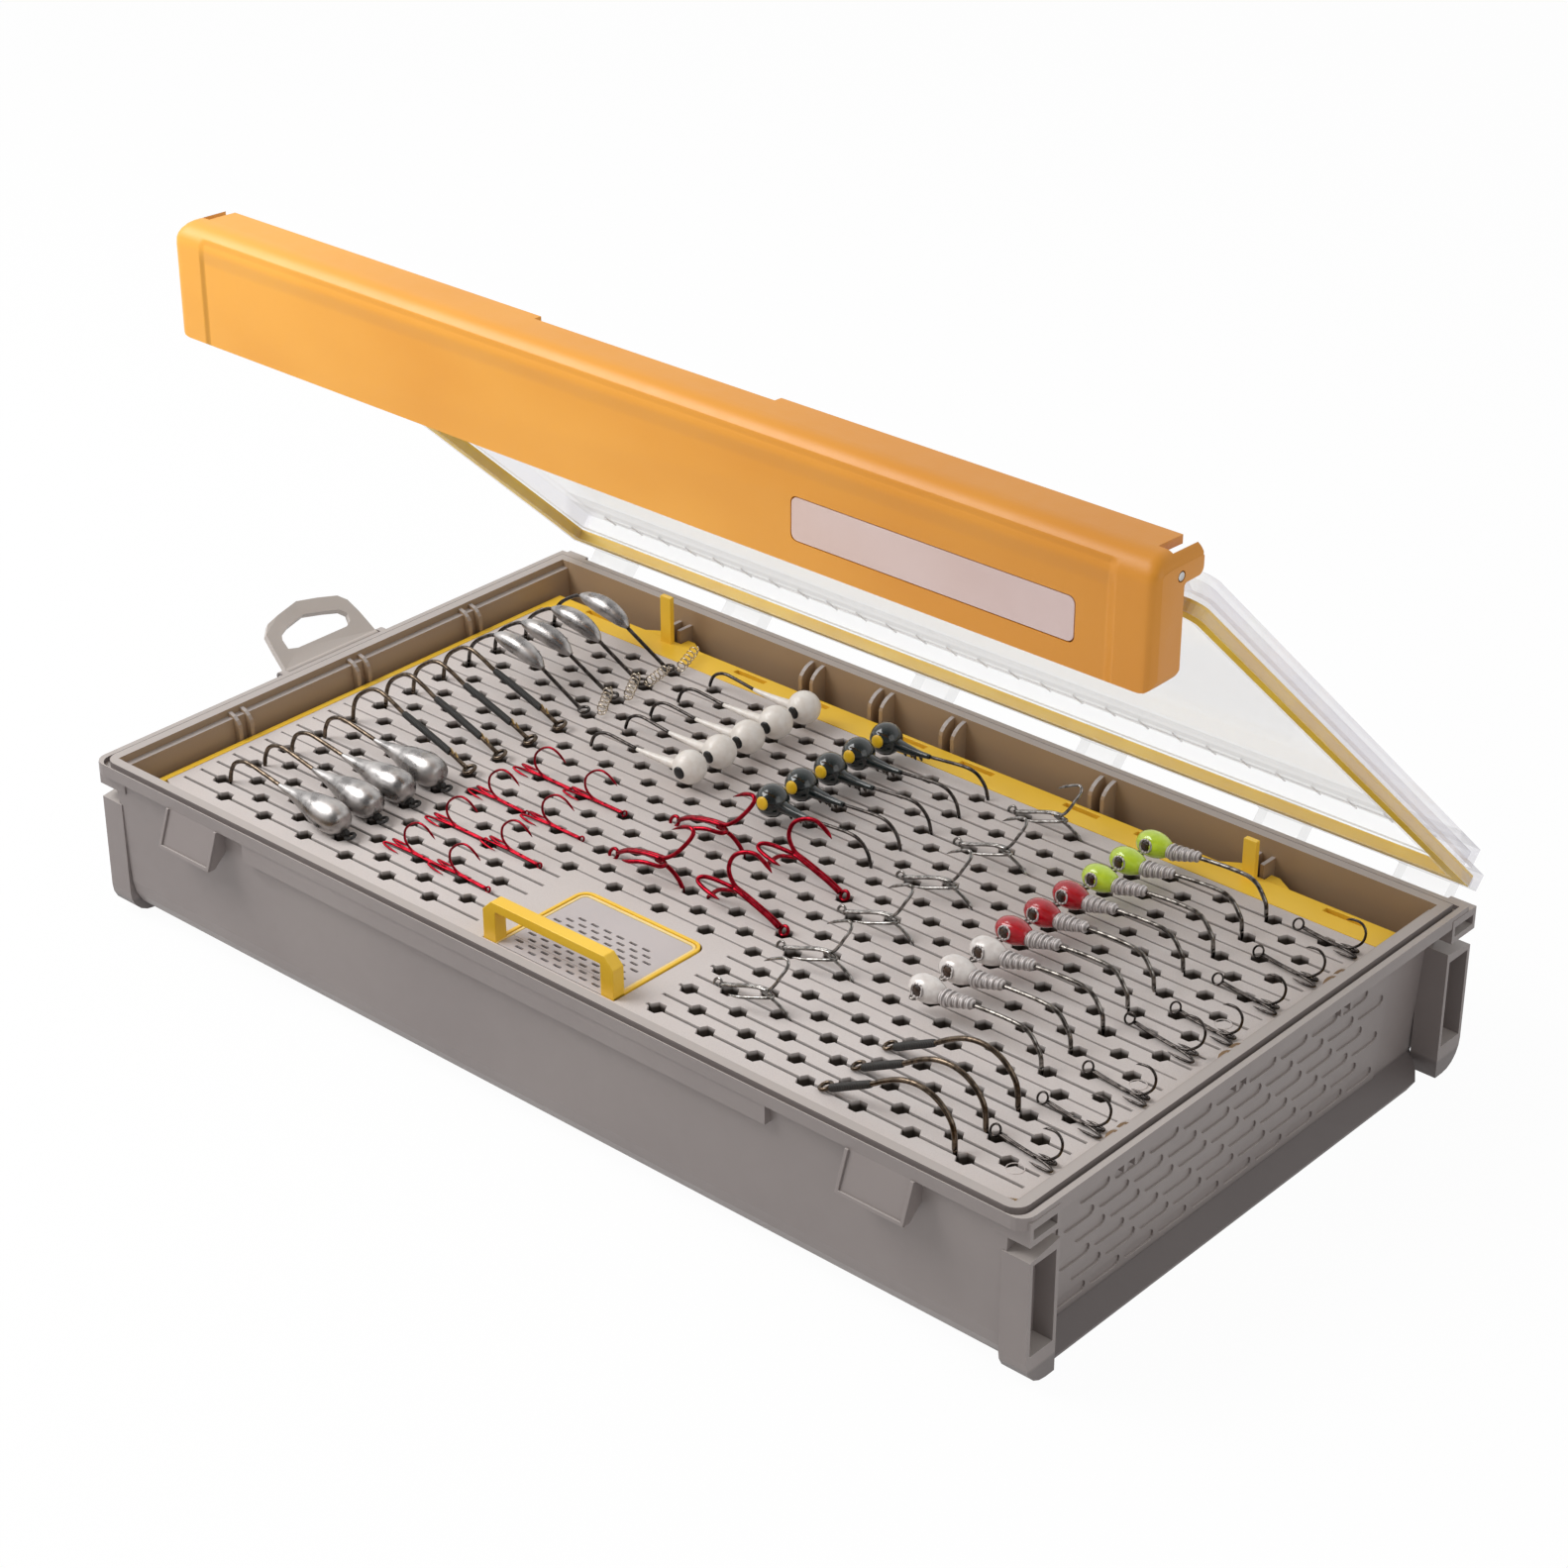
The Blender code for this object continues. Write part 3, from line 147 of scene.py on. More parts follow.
class Finish(Tree):
    """A material built from nodes, with one shader at its end."""

    def __init__(self, name, **fixed):
        self.material = bpy.data.materials.new(name)
        self.material.use_nodes = True
        super().__init__(self.material.node_tree)
        self.shader = self.nodes["Principled BSDF"]
        self.set(self.shader, fixed)

    def place(self):
        return self.add("TexCoord", output="Object")

    def noise(self, scale, detail=3.0, roughness=0.5, place=None):
        values = {"Vector": place or self.place(), "Scale": scale, "Detail": detail, "Roughness": roughness}
        return self.add("TexNoise", {}, values)

    def mix(self, factor, first, second):
        """A colour between two."""
        values = {"Factor": factor, 6: first, 7: second}
        return self.add("Mix", {"data_type": "RGBA"}, values, output=2)

    def scaled(self, x, y, z):
        """The place with each axis stretched."""
        return self.add("VectorMath", {"operation": "MULTIPLY"}, {0: self.place(), 1: (x, y, z)})

    def axis(self, index):
        return self.add("SeparateXYZ", {}, {0: self.place()}, output=index)

    def bump(self, height, strength, distance):
        return self.add("Bump", {}, {"Strength": strength, "Distance": distance, "Height": height})

    def grain(self, fine_scale, broad_scale, share, distance):
        """Fine grain over broader waves: the waves, and the normal that both give."""
        fine, broad = self.noise(fine_scale, 2.0), self.noise(broad_scale, 3.0)
        return broad, self.bump(fine * share + broad * (1.0 - share), 0.5, distance)

    def end(self, **values):
        self.set(self.shader, values)
        return self.material


def moulded(name, low, high, roughness):
    """Moulded plastic: faint clouds of colour, a fine spark-eroded grain and slightly uneven gloss."""
    made = Finish(name)
    broad, normal = made.grain(1800.0, 260.0, 0.6, 0.00006)
    return made.end(
        Base_Color=made.mix(made.noise(30.0, 4.0).above(0.5, 0.22), low, high),
        Roughness=roughness - 0.06 + broad * 0.12,
        Normal=normal,
    )


def grey_base():
    """The box's warm grey: painted warm, browner light inside, painted light on faces that look up and
    painted shade along the foot of each end.
    """
    made = Finish("grey_moulded")
    broad, normal = made.grain(1500.0, 220.0, 0.6, 0.00006)
    cloud = made.noise(18.0, 4.0).above(0.5, 0.25)
    ends, sides, height = abs(made.axis(0)), abs(made.axis(1)), made.axis(2)
    side_middle, ledge_level, foot_start, foot_top = 97.2 * mm, 14.0 * mm, 165.0 * mm, 6.4 * mm
    low_wall, high_wall = wall_middle(low_level), wall_middle(high_level)
    slope = (high_wall - low_wall) / (high_level - low_level)
    rim_step = height.above(47.5 * mm, 0.4 * mm) * (2.5 * mm)
    end_middle = height * slope + (low_wall - slope * low_level) + rim_step
    inner_y = 1.0 - sides.above(side_middle, 0.4 * mm)
    inner_x = (1.0 - (ends - end_middle).above(0.0, 0.4 * mm)) * height.above(ledge_level, 1.0 * mm)
    # Painted light: faces that look up are painted paler, as the light from above falls on them
    facing = made.add("NewGeometry", output=1)
    painted_top_light = made.add("SeparateXYZ", {}, {0: facing}, output=2).above(0.6, 0.3)
    # Painted shade along the foot of each end, where the wall slopes in away from the light
    painted_foot_shade = ends.above(foot_start, 5.0 * mm) * (1.0 - height.above(foot_top, 0.8 * mm))
    outside = made.mix(cloud, (0.228, 0.195, 0.187), (0.256, 0.221, 0.210))
    # The painted shade's dark colour at the foot of the ends
    outside = made.mix(painted_foot_shade * 0.6, outside, (0.09, 0.076, 0.074))
    # Painted light on faces that look up, left off the painted shade at the foot
    outside = made.mix(painted_top_light * (1.0 - painted_foot_shade), outside, (0.45, 0.405, 0.38))
    # Painted light: inside the box the grey is painted lighter and browner, as warm light falls there
    inside = made.mix(cloud, (0.350, 0.243, 0.150), (0.390, 0.275, 0.175))
    return made.end(
        # The painted warm light inside, left off the faces that look up
        Base_Color=made.mix(inner_y * inner_x * (1.0 - painted_top_light), outside, inside),
        Roughness=0.40 + broad * 0.12,
        Normal=normal,
    )


def soft_rubber():
    """The mat: pale, matt, finely speckled rubber, with painted shade darkening down the sides of its
    openings.
    """
    made = Finish("mat_rubber", Specular_IOR_Level=0.35)
    speck = made.noise(2600.0, 2.0)
    broad = made.noise(420.0, 3.0)
    # Painted shade: below the top, the sides of the openings are painted dark
    depth = made.axis(2).above(mat_top - 1.0 * mm, 0.8 * mm)
    tone = made.mix(made.noise(14.0, 3.0).above(0.5, 0.3), (0.60, 0.545, 0.52), (0.67, 0.62, 0.60))
    speckled = made.mix(speck.above(0.56, 0.1) * 0.35, tone, (0.50, 0.45, 0.42))
    return made.end(
        # The painted shade colour down the openings, under the speckled tone
        Base_Color=made.mix(depth, (0.075, 0.060, 0.048), speckled),
        Roughness=0.44 + broad * 0.16,
        Normal=made.bump(speck * 0.5 + broad * 0.5, 0.6, 0.00008),
    )


def orange_latch():
    """Satin orange with soft flow marks, painted shade deepening to the right and the sunk panel on its
    front.
    """
    made = Finish("orange_moulded")
    flow = made.noise(9.0, 2.0, place=made.scaled(1.0, 1.0, 2.2))
    broad, grain = made.grain(1600.0, 200.0, 0.7, 0.00007)
    ends, sides, height = made.axis(0), made.axis(1), made.axis(2)
    panel_half, panel_drop, panel_depth = 165.4 * mm, 7.6 * mm, 1.2 * mm
    across = 1.0 - abs(ends).above(panel_half, 1.5 * mm)
    below = 1.0 - height.above(latch_high.z - panel_drop, 2.6 * mm) * 0.55
    front = 1.0 - sides.above(latch_low.y + 1.0 * mm, 0.5 * mm)
    step = made.add(
        "Bump", {"invert": True},
        {"Strength": 1.0, "Distance": panel_depth, "Height": across * below * front, "Normal": grain},
    )
    tone = made.mix(flow.above(0.5, 0.2), (0.79, 0.315, 0.022), (0.90, 0.41, 0.048))
    return made.end(
        # Painted shade: the orange is painted deeper towards the right end, where less light falls
        Base_Color=made.mix(ends.above(90.0 * mm, 110.0 * mm) * 0.55, tone, (0.52, 0.185, 0.008)),
        Roughness=0.36 + broad * 0.12,
        Normal=step,
    )


def clear_lid():
    """Clear polymer: milkier and lilac towards the ends, with painted shade where the hinge side's edges
    glance.
    """
    made = Finish("clear_moulded", IOR=1.49)
    edge = abs(made.axis(0)).above(174.5 * mm, 1.5 * mm)
    flow = made.noise(26.0, 2.0, place=made.scaled(0.3, 6.0, 6.0))
    glancing = made.add("LayerWeight", {}, {"Blend": 0.3}, output=1)
    # Painted shade on the hinge side, stronger where its faces glance
    hinge_side = made.axis(1).above(101.5 * mm, 1.0 * mm) * glancing
    lilac = made.mix(edge, (0.90, 0.895, 0.90), (0.76, 0.72, 0.90))
    return made.end(
        Base_Color=made.mix(hinge_side, lilac, (0.30, 0.29, 0.29)),
        Roughness=0.05 + flow * 0.06,
        Alpha=0.03 + glancing * glancing * 0.34 + edge * 0.10 + hinge_side * 0.30,
        Normal=made.bump(flow, 0.12, 0.0002),
    )


def clear_line():
    """Clear polymer where a fine rib thickens it."""
    made = Finish("clear_line", Alpha=0.38)
    cloud = made.noise(40.0, 2.0)
    return made.end(
        Base_Color=made.mix(cloud.above(0.5, 0.2), (0.86, 0.85, 0.87), (0.95, 0.94, 0.96)),
        Roughness=0.12 + cloud * 0.1,
    )


def frosted():
    """The label window: milky white that takes a little of the orange behind it."""
    made = Finish("frosted_window")
    cloud = made.noise(22.0, 3.0)
    tone = made.mix(made.axis(0).above(110 * mm, 60 * mm), (0.70, 0.51, 0.44), (0.62, 0.465, 0.44))
    return made.end(
        Base_Color=made.mix(cloud.above(0.5, 0.2) * 0.6, tone, (0.73, 0.58, 0.55)),
        Roughness=0.42 + cloud * 0.1,
        Normal=made.bump(made.noise(1500.0, 2.0), 0.4, 0.00005),
    )


def seal_rubber():
    """The lid's seal: smooth yellow rubber."""
    made = Finish("seal_rubber", Specular_IOR_Level=0.45)
    fine = made.noise(1200.0, 2.0)
    return made.end(
        Base_Color=made.mix(made.noise(60.0, 3.0).above(0.5, 0.25), (0.84, 0.52, 0.014), (0.92, 0.61, 0.028)),
        Roughness=0.36 + fine * 0.14,
        Normal=made.bump(fine, 0.5, 0.00006),
    )


def metal(name, low, high, roughness, scale=500.0):
    """Bright or plated metal with faint drawing marks and uneven tone."""
    made = Finish(name, Metallic=1.0)
    cloud = made.noise(scale, 4.0)
    fine = made.noise(scale * 4, 2.0)
    return made.end(
        Base_Color=made.mix(cloud.above(0.5, 0.15), low, high),
        Roughness=roughness - 0.05 + cloud * 0.12,
        Normal=made.bump(fine * 0.5 + cloud * 0.5, 0.5, 0.00003),
    )


def cast_lead():
    """Cast lead: bright where it was handled, dull grey in patches, with small casting pits."""
    made = Finish("cast_lead", Metallic=0.9)
    patch = made.noise(170.0, 4.0, 0.55)
    pits = made.noise(1300.0, 3.0)
    return made.end(
        Base_Color=made.mix(patch.above(0.5, 0.16), (0.23, 0.219, 0.215), (0.50, 0.478, 0.466)),
        Roughness=0.27 + patch.above(0.52, 0.1) * 0.14,
        Normal=made.bump(patch * 0.7 + pits * 0.3, 0.6, 0.00010),
    )


def enamel(name, low, high, roughness, coat):
    """Dipped enamel: thick gloss over a slightly uneven colour."""
    made = Finish(name, Coat_Roughness=0.05, Coat_Weight=coat)
    cloud = made.noise(420.0, 3.0)
    return made.end(
        Base_Color=made.mix(cloud.above(0.5, 0.2), low, high),
        Roughness=roughness + cloud * 0.08,
        Normal=made.bump(cloud, 0.35, 0.00010),
    )


def wrapping(name, low, high, turns, roughness, metallic=0.0):
    """Wound thread or wire: close turns across the shank."""
    made = Finish(name, Metallic=metallic)
    wave = made.add(
        "TexWave", {"wave_type": "BANDS", "bands_direction": "X"},
        {"Vector": made.place(), "Scale": turns, "Distortion": 1.2, "Detail": 2.0, "Detail Scale": 1.5},
        output=1,
    )
    return made.end(
        Base_Color=made.mix(wave, low, high),
        Roughness=roughness - 0.1 + wave * 0.2,
        Normal=made.bump(wave, 0.8, 0.00018),
    )


def painted_shade_finish():
    """Painted shade: the dark seen down the mat's openings and the cover's slots."""
    made = Finish("painted_shade_under_mat", Specular_IOR_Level=0.2)
    cloud = made.noise(90.0, 3.0)
    return made.end(
        Base_Color=made.mix(cloud, (0.010, 0.008, 0.006), (0.022, 0.017, 0.013)), Roughness=0.7 + cloud * 0.15
    )


finishes = {
    "grey": grey_base(),
    "tab_grey": moulded("tab_moulded", (0.44, 0.395, 0.36), (0.50, 0.45, 0.415), 0.42),
    "cover_grey": moulded("cover_moulded", (0.50, 0.455, 0.455), (0.56, 0.51, 0.505), 0.42),
    "yellow": moulded("yellow_moulded", (0.92, 0.56, 0.035), (0.97, 0.63, 0.060), 0.34),
    "rim_yellow": moulded("rim_moulded", (0.88, 0.66, 0.24), (0.93, 0.74, 0.34), 0.40),
    "mat": soft_rubber(),
    # Painted shade, for the dark sheets under the mat and the cover
    "under": painted_shade_finish(),
    "orange": orange_latch(),
    "clear": clear_lid(),
    "clear_line": clear_line(),
    "frosted": frosted(),
    "seal": seal_rubber(),
    "steel": metal("pin_steel", (0.42, 0.41, 0.40), (0.60, 0.59, 0.58), 0.28),
    "chrome": metal("bright_steel", (0.15, 0.14, 0.13), (0.40, 0.385, 0.37), 0.20, 700.0),
    "black_wire": metal("black_steel", (0.035, 0.030, 0.028), (0.105, 0.092, 0.085), 0.24, 600.0),
    "bronze_wire": metal("bronze_steel", (0.060, 0.044, 0.032), (0.165, 0.125, 0.090), 0.24, 600.0),
    "gun_wire": metal("gun_steel", (0.060, 0.052, 0.046), (0.27, 0.25, 0.23), 0.20, 600.0),
    "red_wire": metal("red_steel", (0.19, 0.003, 0.010), (0.36, 0.010, 0.023), 0.28, 600.0),
    "spring": metal("spring_steel", (0.42, 0.35, 0.26), (0.72, 0.64, 0.52), 0.22, 700.0),
    "lead": cast_lead(),
    "pearl": enamel("pearl_enamel", (0.82, 0.765, 0.70), (0.90, 0.86, 0.81), 0.3, 0.25),
    "gloss_black": enamel("black_enamel", (0.003, 0.006, 0.006), (0.012, 0.020, 0.019), 0.12, 0.5),
    "eye_black": enamel("eye_black_enamel", (0.004, 0.004, 0.004), (0.012, 0.012, 0.012), 0.3, 0.1),
    "eye_yellow": enamel("eye_yellow_enamel", (0.80, 0.47, 0.008), (0.86, 0.55, 0.015), 0.35, 0.2),
    "red_head": enamel("red_enamel", (0.38, 0.003, 0.009), (0.50, 0.008, 0.020), 0.14, 0.5),
    "green_head": enamel("chartreuse_enamel", (0.50, 0.70, 0.025), (0.60, 0.80, 0.045), 0.14, 0.8),
    "white_head": enamel("white_enamel", (0.68, 0.63, 0.60), (0.80, 0.76, 0.73), 0.16, 0.5),
    "thread": wrapping("black_thread", (0.005, 0.005, 0.005), (0.038, 0.035, 0.032), 560.0, 0.6),
    "collar": wrapping("collar_winding", (0.30, 0.27, 0.26), (0.74, 0.70, 0.69), 330.0, 0.5, 0.5),
    "brass": metal("brass", (0.38, 0.24, 0.08), (0.60, 0.41, 0.17), 0.27),
    "eye_brown": enamel("eye_brown_enamel", (0.020, 0.010, 0.006), (0.055, 0.028, 0.014), 0.2, 0.3),
}


# Mesh helpers. Lengths in their arguments are in millimetres

def join(mesh, other):
    """Moves a second mesh into a first."""
    data = bpy.data.meshes.new("joined")
    other.to_mesh(data)
    other.free()
    mesh.from_mesh(data)
    bpy.data.meshes.remove(data)


def arc(x, y, radius, start, turn, steps):
    """Places along a part of a circle, from one angle through a turn, in degrees."""
    angles = [math.radians(start + turn * step / steps) for step in range(steps + 1)]
    return [(x + radius * math.cos(angle), y + radius * math.sin(angle)) for angle in angles]


def circle(centre, across, along, radius, steps):
    """Places round a circle in the plane of two directions."""
    return [centre + across * x + along * y for x, y in arc(0, 0, radius, 0, 360, steps)[:-1]]


def new_piece(name, mesh, finish_names, body, slot, smooth=True, replaced=()):
    """A mesh becomes a piece that rides on a body."""
    bmesh.ops.recalc_face_normals(mesh, faces=mesh.faces)
    data = bpy.data.meshes.new(name)
    mesh.to_mesh(data)
    mesh.free()
    for finish_name in finish_names:
        data.materials.append(finishes[finish_name])
    for face in data.polygons:
        face.use_smooth = smooth
    piece = bpy.data.objects.new(name, data)
    bpy.context.collection.objects.link(piece)
    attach(piece, body)
    if replaced:
        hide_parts(*replaced)
    return piece


def eased(stations, steps):
    """More stations between the given (x, y, z, radius) ones, on a smooth curve through them."""
    made = []
    last = len(stations) - 1
    points = [Vector(station) for station in stations]
    for index in range(last):
        before, start, end, after = (points[min(max(index + shift, 0), last)] for shift in (-1, 0, 1, 2))
        for step in range(steps):
            share = step / steps
            place = 0.5 * (
                2 * start + (end - before) * share + (2 * before - 5 * start + 4 * end - after) * share ** 2
                + (3 * start - before - 3 * end + after) * share ** 3
            )
            place[3] = min(max(place[3], min(start[3], end[3])), max(start[3], end[3]))
            made.append(place)
    made.append(points[-1])
    return made


def sweep(mesh, stations, sides=10, finish=0, closed=False):
    """Adds a round bar through (x, y, z, radius) stations, in millimetres."""
    places = [Vector(station[:3]) * mm for station in stations]
    count = len(places)
    loops = []
    side = None
    for index, station in enumerate(stations):
        before = places[index - 1] if index or closed else places[index]
        after = places[(index + 1) % count] if index < count - 1 or closed else places[index]
        along = (after - before).normalized()
        side = side or along.orthogonal()
        side = (side - along * side.dot(along)).normalized()
        loop = circle(places[index], side, along.cross(side), station[3] * mm, sides)
        loops.append([mesh.verts.new(place) for place in loop])
    for index in range(count if closed else count - 1):
        here, ahead = loops[index], loops[(index + 1) % count]
        for step in range(sides):
            after = (step + 1) % sides
            face = mesh.faces.new((here[step], here[after], ahead[after], ahead[step]))
            face.material_index = finish
    if not closed:
        mesh.faces.new(loops[0][::-1]).material_index = finish
        mesh.faces.new(loops[-1]).material_index = finish


def ring(mesh, centre, across, along, radius, wire, finish=0, steps=20):
    """A wire ring in the plane of two directions."""
    places = circle(Vector(centre), Vector(across).normalized(), Vector(along).normalized(), radius, steps)
    sweep(mesh, [(*place, wire) for place in places], 8, finish, closed=True)


def disc(mesh, centre, facing, radius, depth, finish):
    """A low domed disc, such as a painted eye."""
    centre, facing = Vector(centre), Vector(facing).normalized()
    profile = [(-depth, radius), (0.0, radius), (depth * 0.6, radius * 0.72), (depth * 0.9, radius * 0.34)]
    sweep(mesh, [(*(centre + facing * height), width) for height, width in profile], 20, finish)


def metres(outline):
    return [(x * mm, y * mm) for x, y in outline]


def raised(height):
    return Matrix.Translation((0.0, 0.0, height))


def sheet(name, outlines, thickness, turn, bevel=0.0):
    """A flat plate with holes, from 2D outlines in metres, laid by a matrix."""
    curve = bpy.data.curves.new(name, "CURVE")
    curve.dimensions = "2D"
    curve.fill_mode = "BOTH"
    curve.extrude = thickness / 2 - bevel
    curve.bevel_depth = bevel
    curve.offset = -bevel
    curve.bevel_resolution = 1
    for outline in outlines:
        spline = curve.splines.new("POLY")
        spline.points.add(len(outline) - 1)
        for point, place in zip(spline.points, outline):
            point.co = (place[0], place[1], 0.0, 1.0)
        spline.use_cyclic_u = True
    guide = bpy.data.objects.new(name, curve)
    bpy.context.collection.objects.link(guide)
    graph = bpy.context.evaluated_depsgraph_get()
    data = bpy.data.meshes.new_from_object(guide.evaluated_get(graph))
    bpy.data.objects.remove(guide)
    bpy.data.curves.remove(curve)
    mesh = bmesh.new()
    mesh.from_mesh(data)
    bpy.data.meshes.remove(data)
    bmesh.ops.remove_doubles(mesh, verts=mesh.verts, dist=1e-6)
    bmesh.ops.transform(mesh, matrix=turn, verts=mesh.verts)
    return mesh


def capsule(x, y, length, height, steps=6):
    """An outline with round ends, about a centre."""
    radius, reach = height / 2, (length - height) / 2
    return arc(x + reach, y, radius, -90, 180, steps) + arc(x - reach, y, radius, 90, 180, steps)


def rounded_box(x0, x1, y0, y1, radius):
    """A rectangle's outline with round corners."""
    corners = (
        (x1 - radius, y0 + radius, -90), (x1 - radius, y1 - radius, 0),
        (x0 + radius, y1 - radius, 90), (x0 + radius, y0 + radius, 180),
    )
    return [place for x, y, start in corners for place in arc(x, y, radius, start, 90, 5)]


# Finishes and small edge rounds on the CAD nodes that stay. The other nodes are replaced further down

def soften(piece, width, angle=35.0):
    """Small rounds along the edges that turn more than an angle."""
    edges = piece.modifiers.new("edges", "BEVEL")
    edges.width = width
    edges.segments = 2
    edges.limit_method = "ANGLE"
    edges.angle_limit = math.radians(angle)


for name, finish_name, width in (
    ("lid", "clear", 0.2), ("label_window", "frosted", 0.15), ("tray", "yellow", 0.25),
    ("desiccant_pack", "pearl", 0.8), ("hang_tab", "tab_grey", 0.3), ("hang_tab_pin", "steel", 0.15),
    ("hinge_pin", "steel", 0.15), ("latch_pin_left", "steel", 0.15), ("latch_pin_right", "steel", 0.15),
):
    node = nodes[name]
    node.data.materials.clear()
    node.data.materials.append(finishes[finish_name])
    node.modifiers.new("weld", "WELD").merge_threshold = 1e-6
    soften(node, width * mm)


# The mat, with its rows of slits and six-sided openings

hole_pitch = 9.1
hole_half = 2.55
hole_flat = 1.4
hole_reach = 2.85
slit_half = 0.36
open_slit_half = 0.55
first_cut_row = 18
open_rows = (*range(0, first_cut_row, 2), *range(first_cut_row, row_count))
slit_reach = 164.7
window_left, window_right = -34.2, 32.6
cover_left, cover_right, cover_front, cover_back = -23.2, 25.0, -85.2, -47.4
cover_corner = 4.2
cover_gap = 0.3
notch_left, notch_front = -26.8, -80.2
hole_limit = 156.0


def slit_row(y, start, end, centres, half):
    """The outline of one slit with its six-sided openings."""
    meet = hole_flat + (hole_reach - hole_flat) * (hole_half - half) / hole_half
    upper = [(start, half)]
    for x in centres:
        upper += [(x - meet, half), (x - hole_flat, hole_half), (x + hole_flat, hole_half), (x + meet, half)]
    upper.append((end, half))
    lower = [(x, -height) for x, height in reversed(upper)]
    return [(x * mm, y + height * mm) for x, height in upper + lower]


def back_part(outline):
    """The stretch of the cover's outline that lies behind the handle."""
    return [place for place in outline if place[1] > -60.0]


def mat_outlines():
    """The mat's edge, its opening for the cover and its slits."""
    x, front, back = mat_high.x, mat_low.y, mat_high.y
    corner = 6.5 * mm
    outer = [
        (-x + corner, front), (x - corner, front), (x, front + corner / 2),
        (x, back), (-x, back), (-x, front + corner / 2),
    ]
    left, right = cover_left - cover_gap, cover_right + cover_gap
    front_edge = cover_front - cover_gap
    opening = back_part(rounded_box(left, right, front_edge, cover_back + cover_gap, cover_corner))
    opening += [(left, notch_front), (notch_left, notch_front), (notch_left, front_edge), (right, front_edge)]
    outlines = [outer, metres(opening)]
    for row in range(row_count):
        centres = [hole_pitch * (2 * k + 1 - row % 2) for k in range(-9, 9 + row % 2)]
        runs = [(-slit_reach, slit_reach)]
        if row >= first_cut_row:
            runs = [(-slit_reach, window_left), (window_right, slit_reach)]
        for start, end in runs:
            inside = [
                x for x in centres if start + hole_reach < x < end - hole_reach and abs(x) < hole_limit
            ]
            half = open_slit_half if row in open_rows else slit_half
            outlines.append(slit_row(first_row - row * row_pitch, start, end, inside, half))
    return outlines


mat_middle = raised((mat_low.z + mat_high.z) / 2)
mat_mesh = sheet("slit_mat", mat_outlines(), mat_high.z - mat_low.z, mat_middle, 0.18 * mm)
new_piece("slit_mat", mat_mesh, ["mat"], "tray", "grey_rubber", False, ["hook_mat"])

# A dark sheet of painted shade under the mat, seen down its slits and openings
shade_sheet_depth = 0.16 * mm
shade_sheet_outline = rounded_box(mat_low.x + mm, mat_high.x - mm, mat_low.y + mm, mat_high.y - mm, 4 * mm)
shade_sheet_mesh = sheet("mat_shade_sheet", [shade_sheet_outline], shade_sheet_depth, raised(mat_low.z - shade_sheet_depth))
new_piece("mat_shade_sheet", shade_sheet_mesh, ["under"], "tray", "grey_rubber", False)

mat_marks = bmesh.new()
for x, y in ((158.0, 16.5), (158.5, -23.0), (158.0, -75.0)):
    ring(mat_marks, (x, y, mat_top / mm), (1, 0, 0), (0, 1, 0), 2.5, 0.16, steps=28)
new_piece("mat_marks", mat_marks, ["mat"], "tray", "grey_rubber")


def vents():
    """Where the cover's slots are: rows of six, seven and eight in turn."""
    across, along, first, rows = 5.05, 2.55, -59.8, 11
    places = []
    for row in range(rows):
        count = 6 if row in (0, rows - 1) else 7 + (row + 1) % 2
        places += [(0.5 + across * (index - (count - 1) / 2), first - along * row) for index in range(count)]
    return places


def cover_sheet(name, front, back, corner, body, replaced=()):
    """A share of the cover, from one line across it to another, over a dark sheet of painted shade that shows
    through its slots.
    """
    left, right = cover_left + 2.3, cover_right - 2.3
    outline = rounded_box(left, right, front, back, corner)
    if corner > 0.5:
        outline = [place for place in outline if place[1] > (front + back) / 2]
        outline += [(left, front), (right, front)]
    holes = [capsule(x, y, 3.1, 0.95, 4) for x, y in vents() if front + 0.3 < y < back - 0.3]
    outlines = [metres(shape) for shape in [outline] + holes]
    mesh = sheet(name, outlines, 0.7 * mm, raised(mat_top - 0.35 * mm), 0.1 * mm)
    # The dark sheet under the cover is painted shade, seen through the slots
    shade = sheet(name, [outlines[0]], 0.3 * mm, raised(mat_top - 0.95 * mm))
    for face in shade.faces:
        face.material_index = 1
    join(mesh, shade)
    new_piece(name, mesh, ["cover_grey", "under"], body, "grey_plastic", False, replaced)


seam = -79.1
cover_sheet("vented_cover", seam + 0.06, cover_back - 2.4, 1.8, "module_cover", ["module_cover"])
cover_sheet("cover_front_strip", cover_front, seam - 0.06, 0.2, "tray")


def cover_rim(name, grow, width, top, finish_name, replaced=()):
    """A raised edge round the cover's back and sides, open towards the handle."""
    outline = []
    for inset in (grow, grow + width):
        corner = max(cover_corner - inset, 1.0)
        left, right = cover_left + inset, cover_right - inset
        shape = back_part(rounded_box(left, right, cover_front, cover_back - inset, corner))
        shape = [(right, cover_front)] + shape + [(left, cover_front)]
        outline += shape if inset == grow else shape[::-1]
    depth = mat_top + top - mat_low.z
    mesh = sheet(name, [metres(outline)], depth, raised(mat_low.z + depth / 2), 0.18 * mm)
    new_piece(name, mesh, [finish_name], "tray", "yellow_plastic", False, replaced)


cover_rim("cover_rim_outer", 0.0, 1.05, 0.5 * mm, "yellow", ["module_frame"])
cover_rim("cover_rim_inner", 1.25, 0.95, 0.15 * mm, "rim_yellow")


# Hooks and jigs. Outlines give (along, height, radius) or, for hook(), (along, height), in millimetres from
# where the piece starts in its row. facing is 1 or -1, the way it runs along X

def run(mesh, facing, outline, finish=0, sides=10, steps=4, across=0.0):
    """A round bar on a smooth curve through an outline."""
    stations = [(facing * along, across, height, radius) for along, height, radius in outline]
    sweep(mesh, eased(stations, steps), sides, finish)


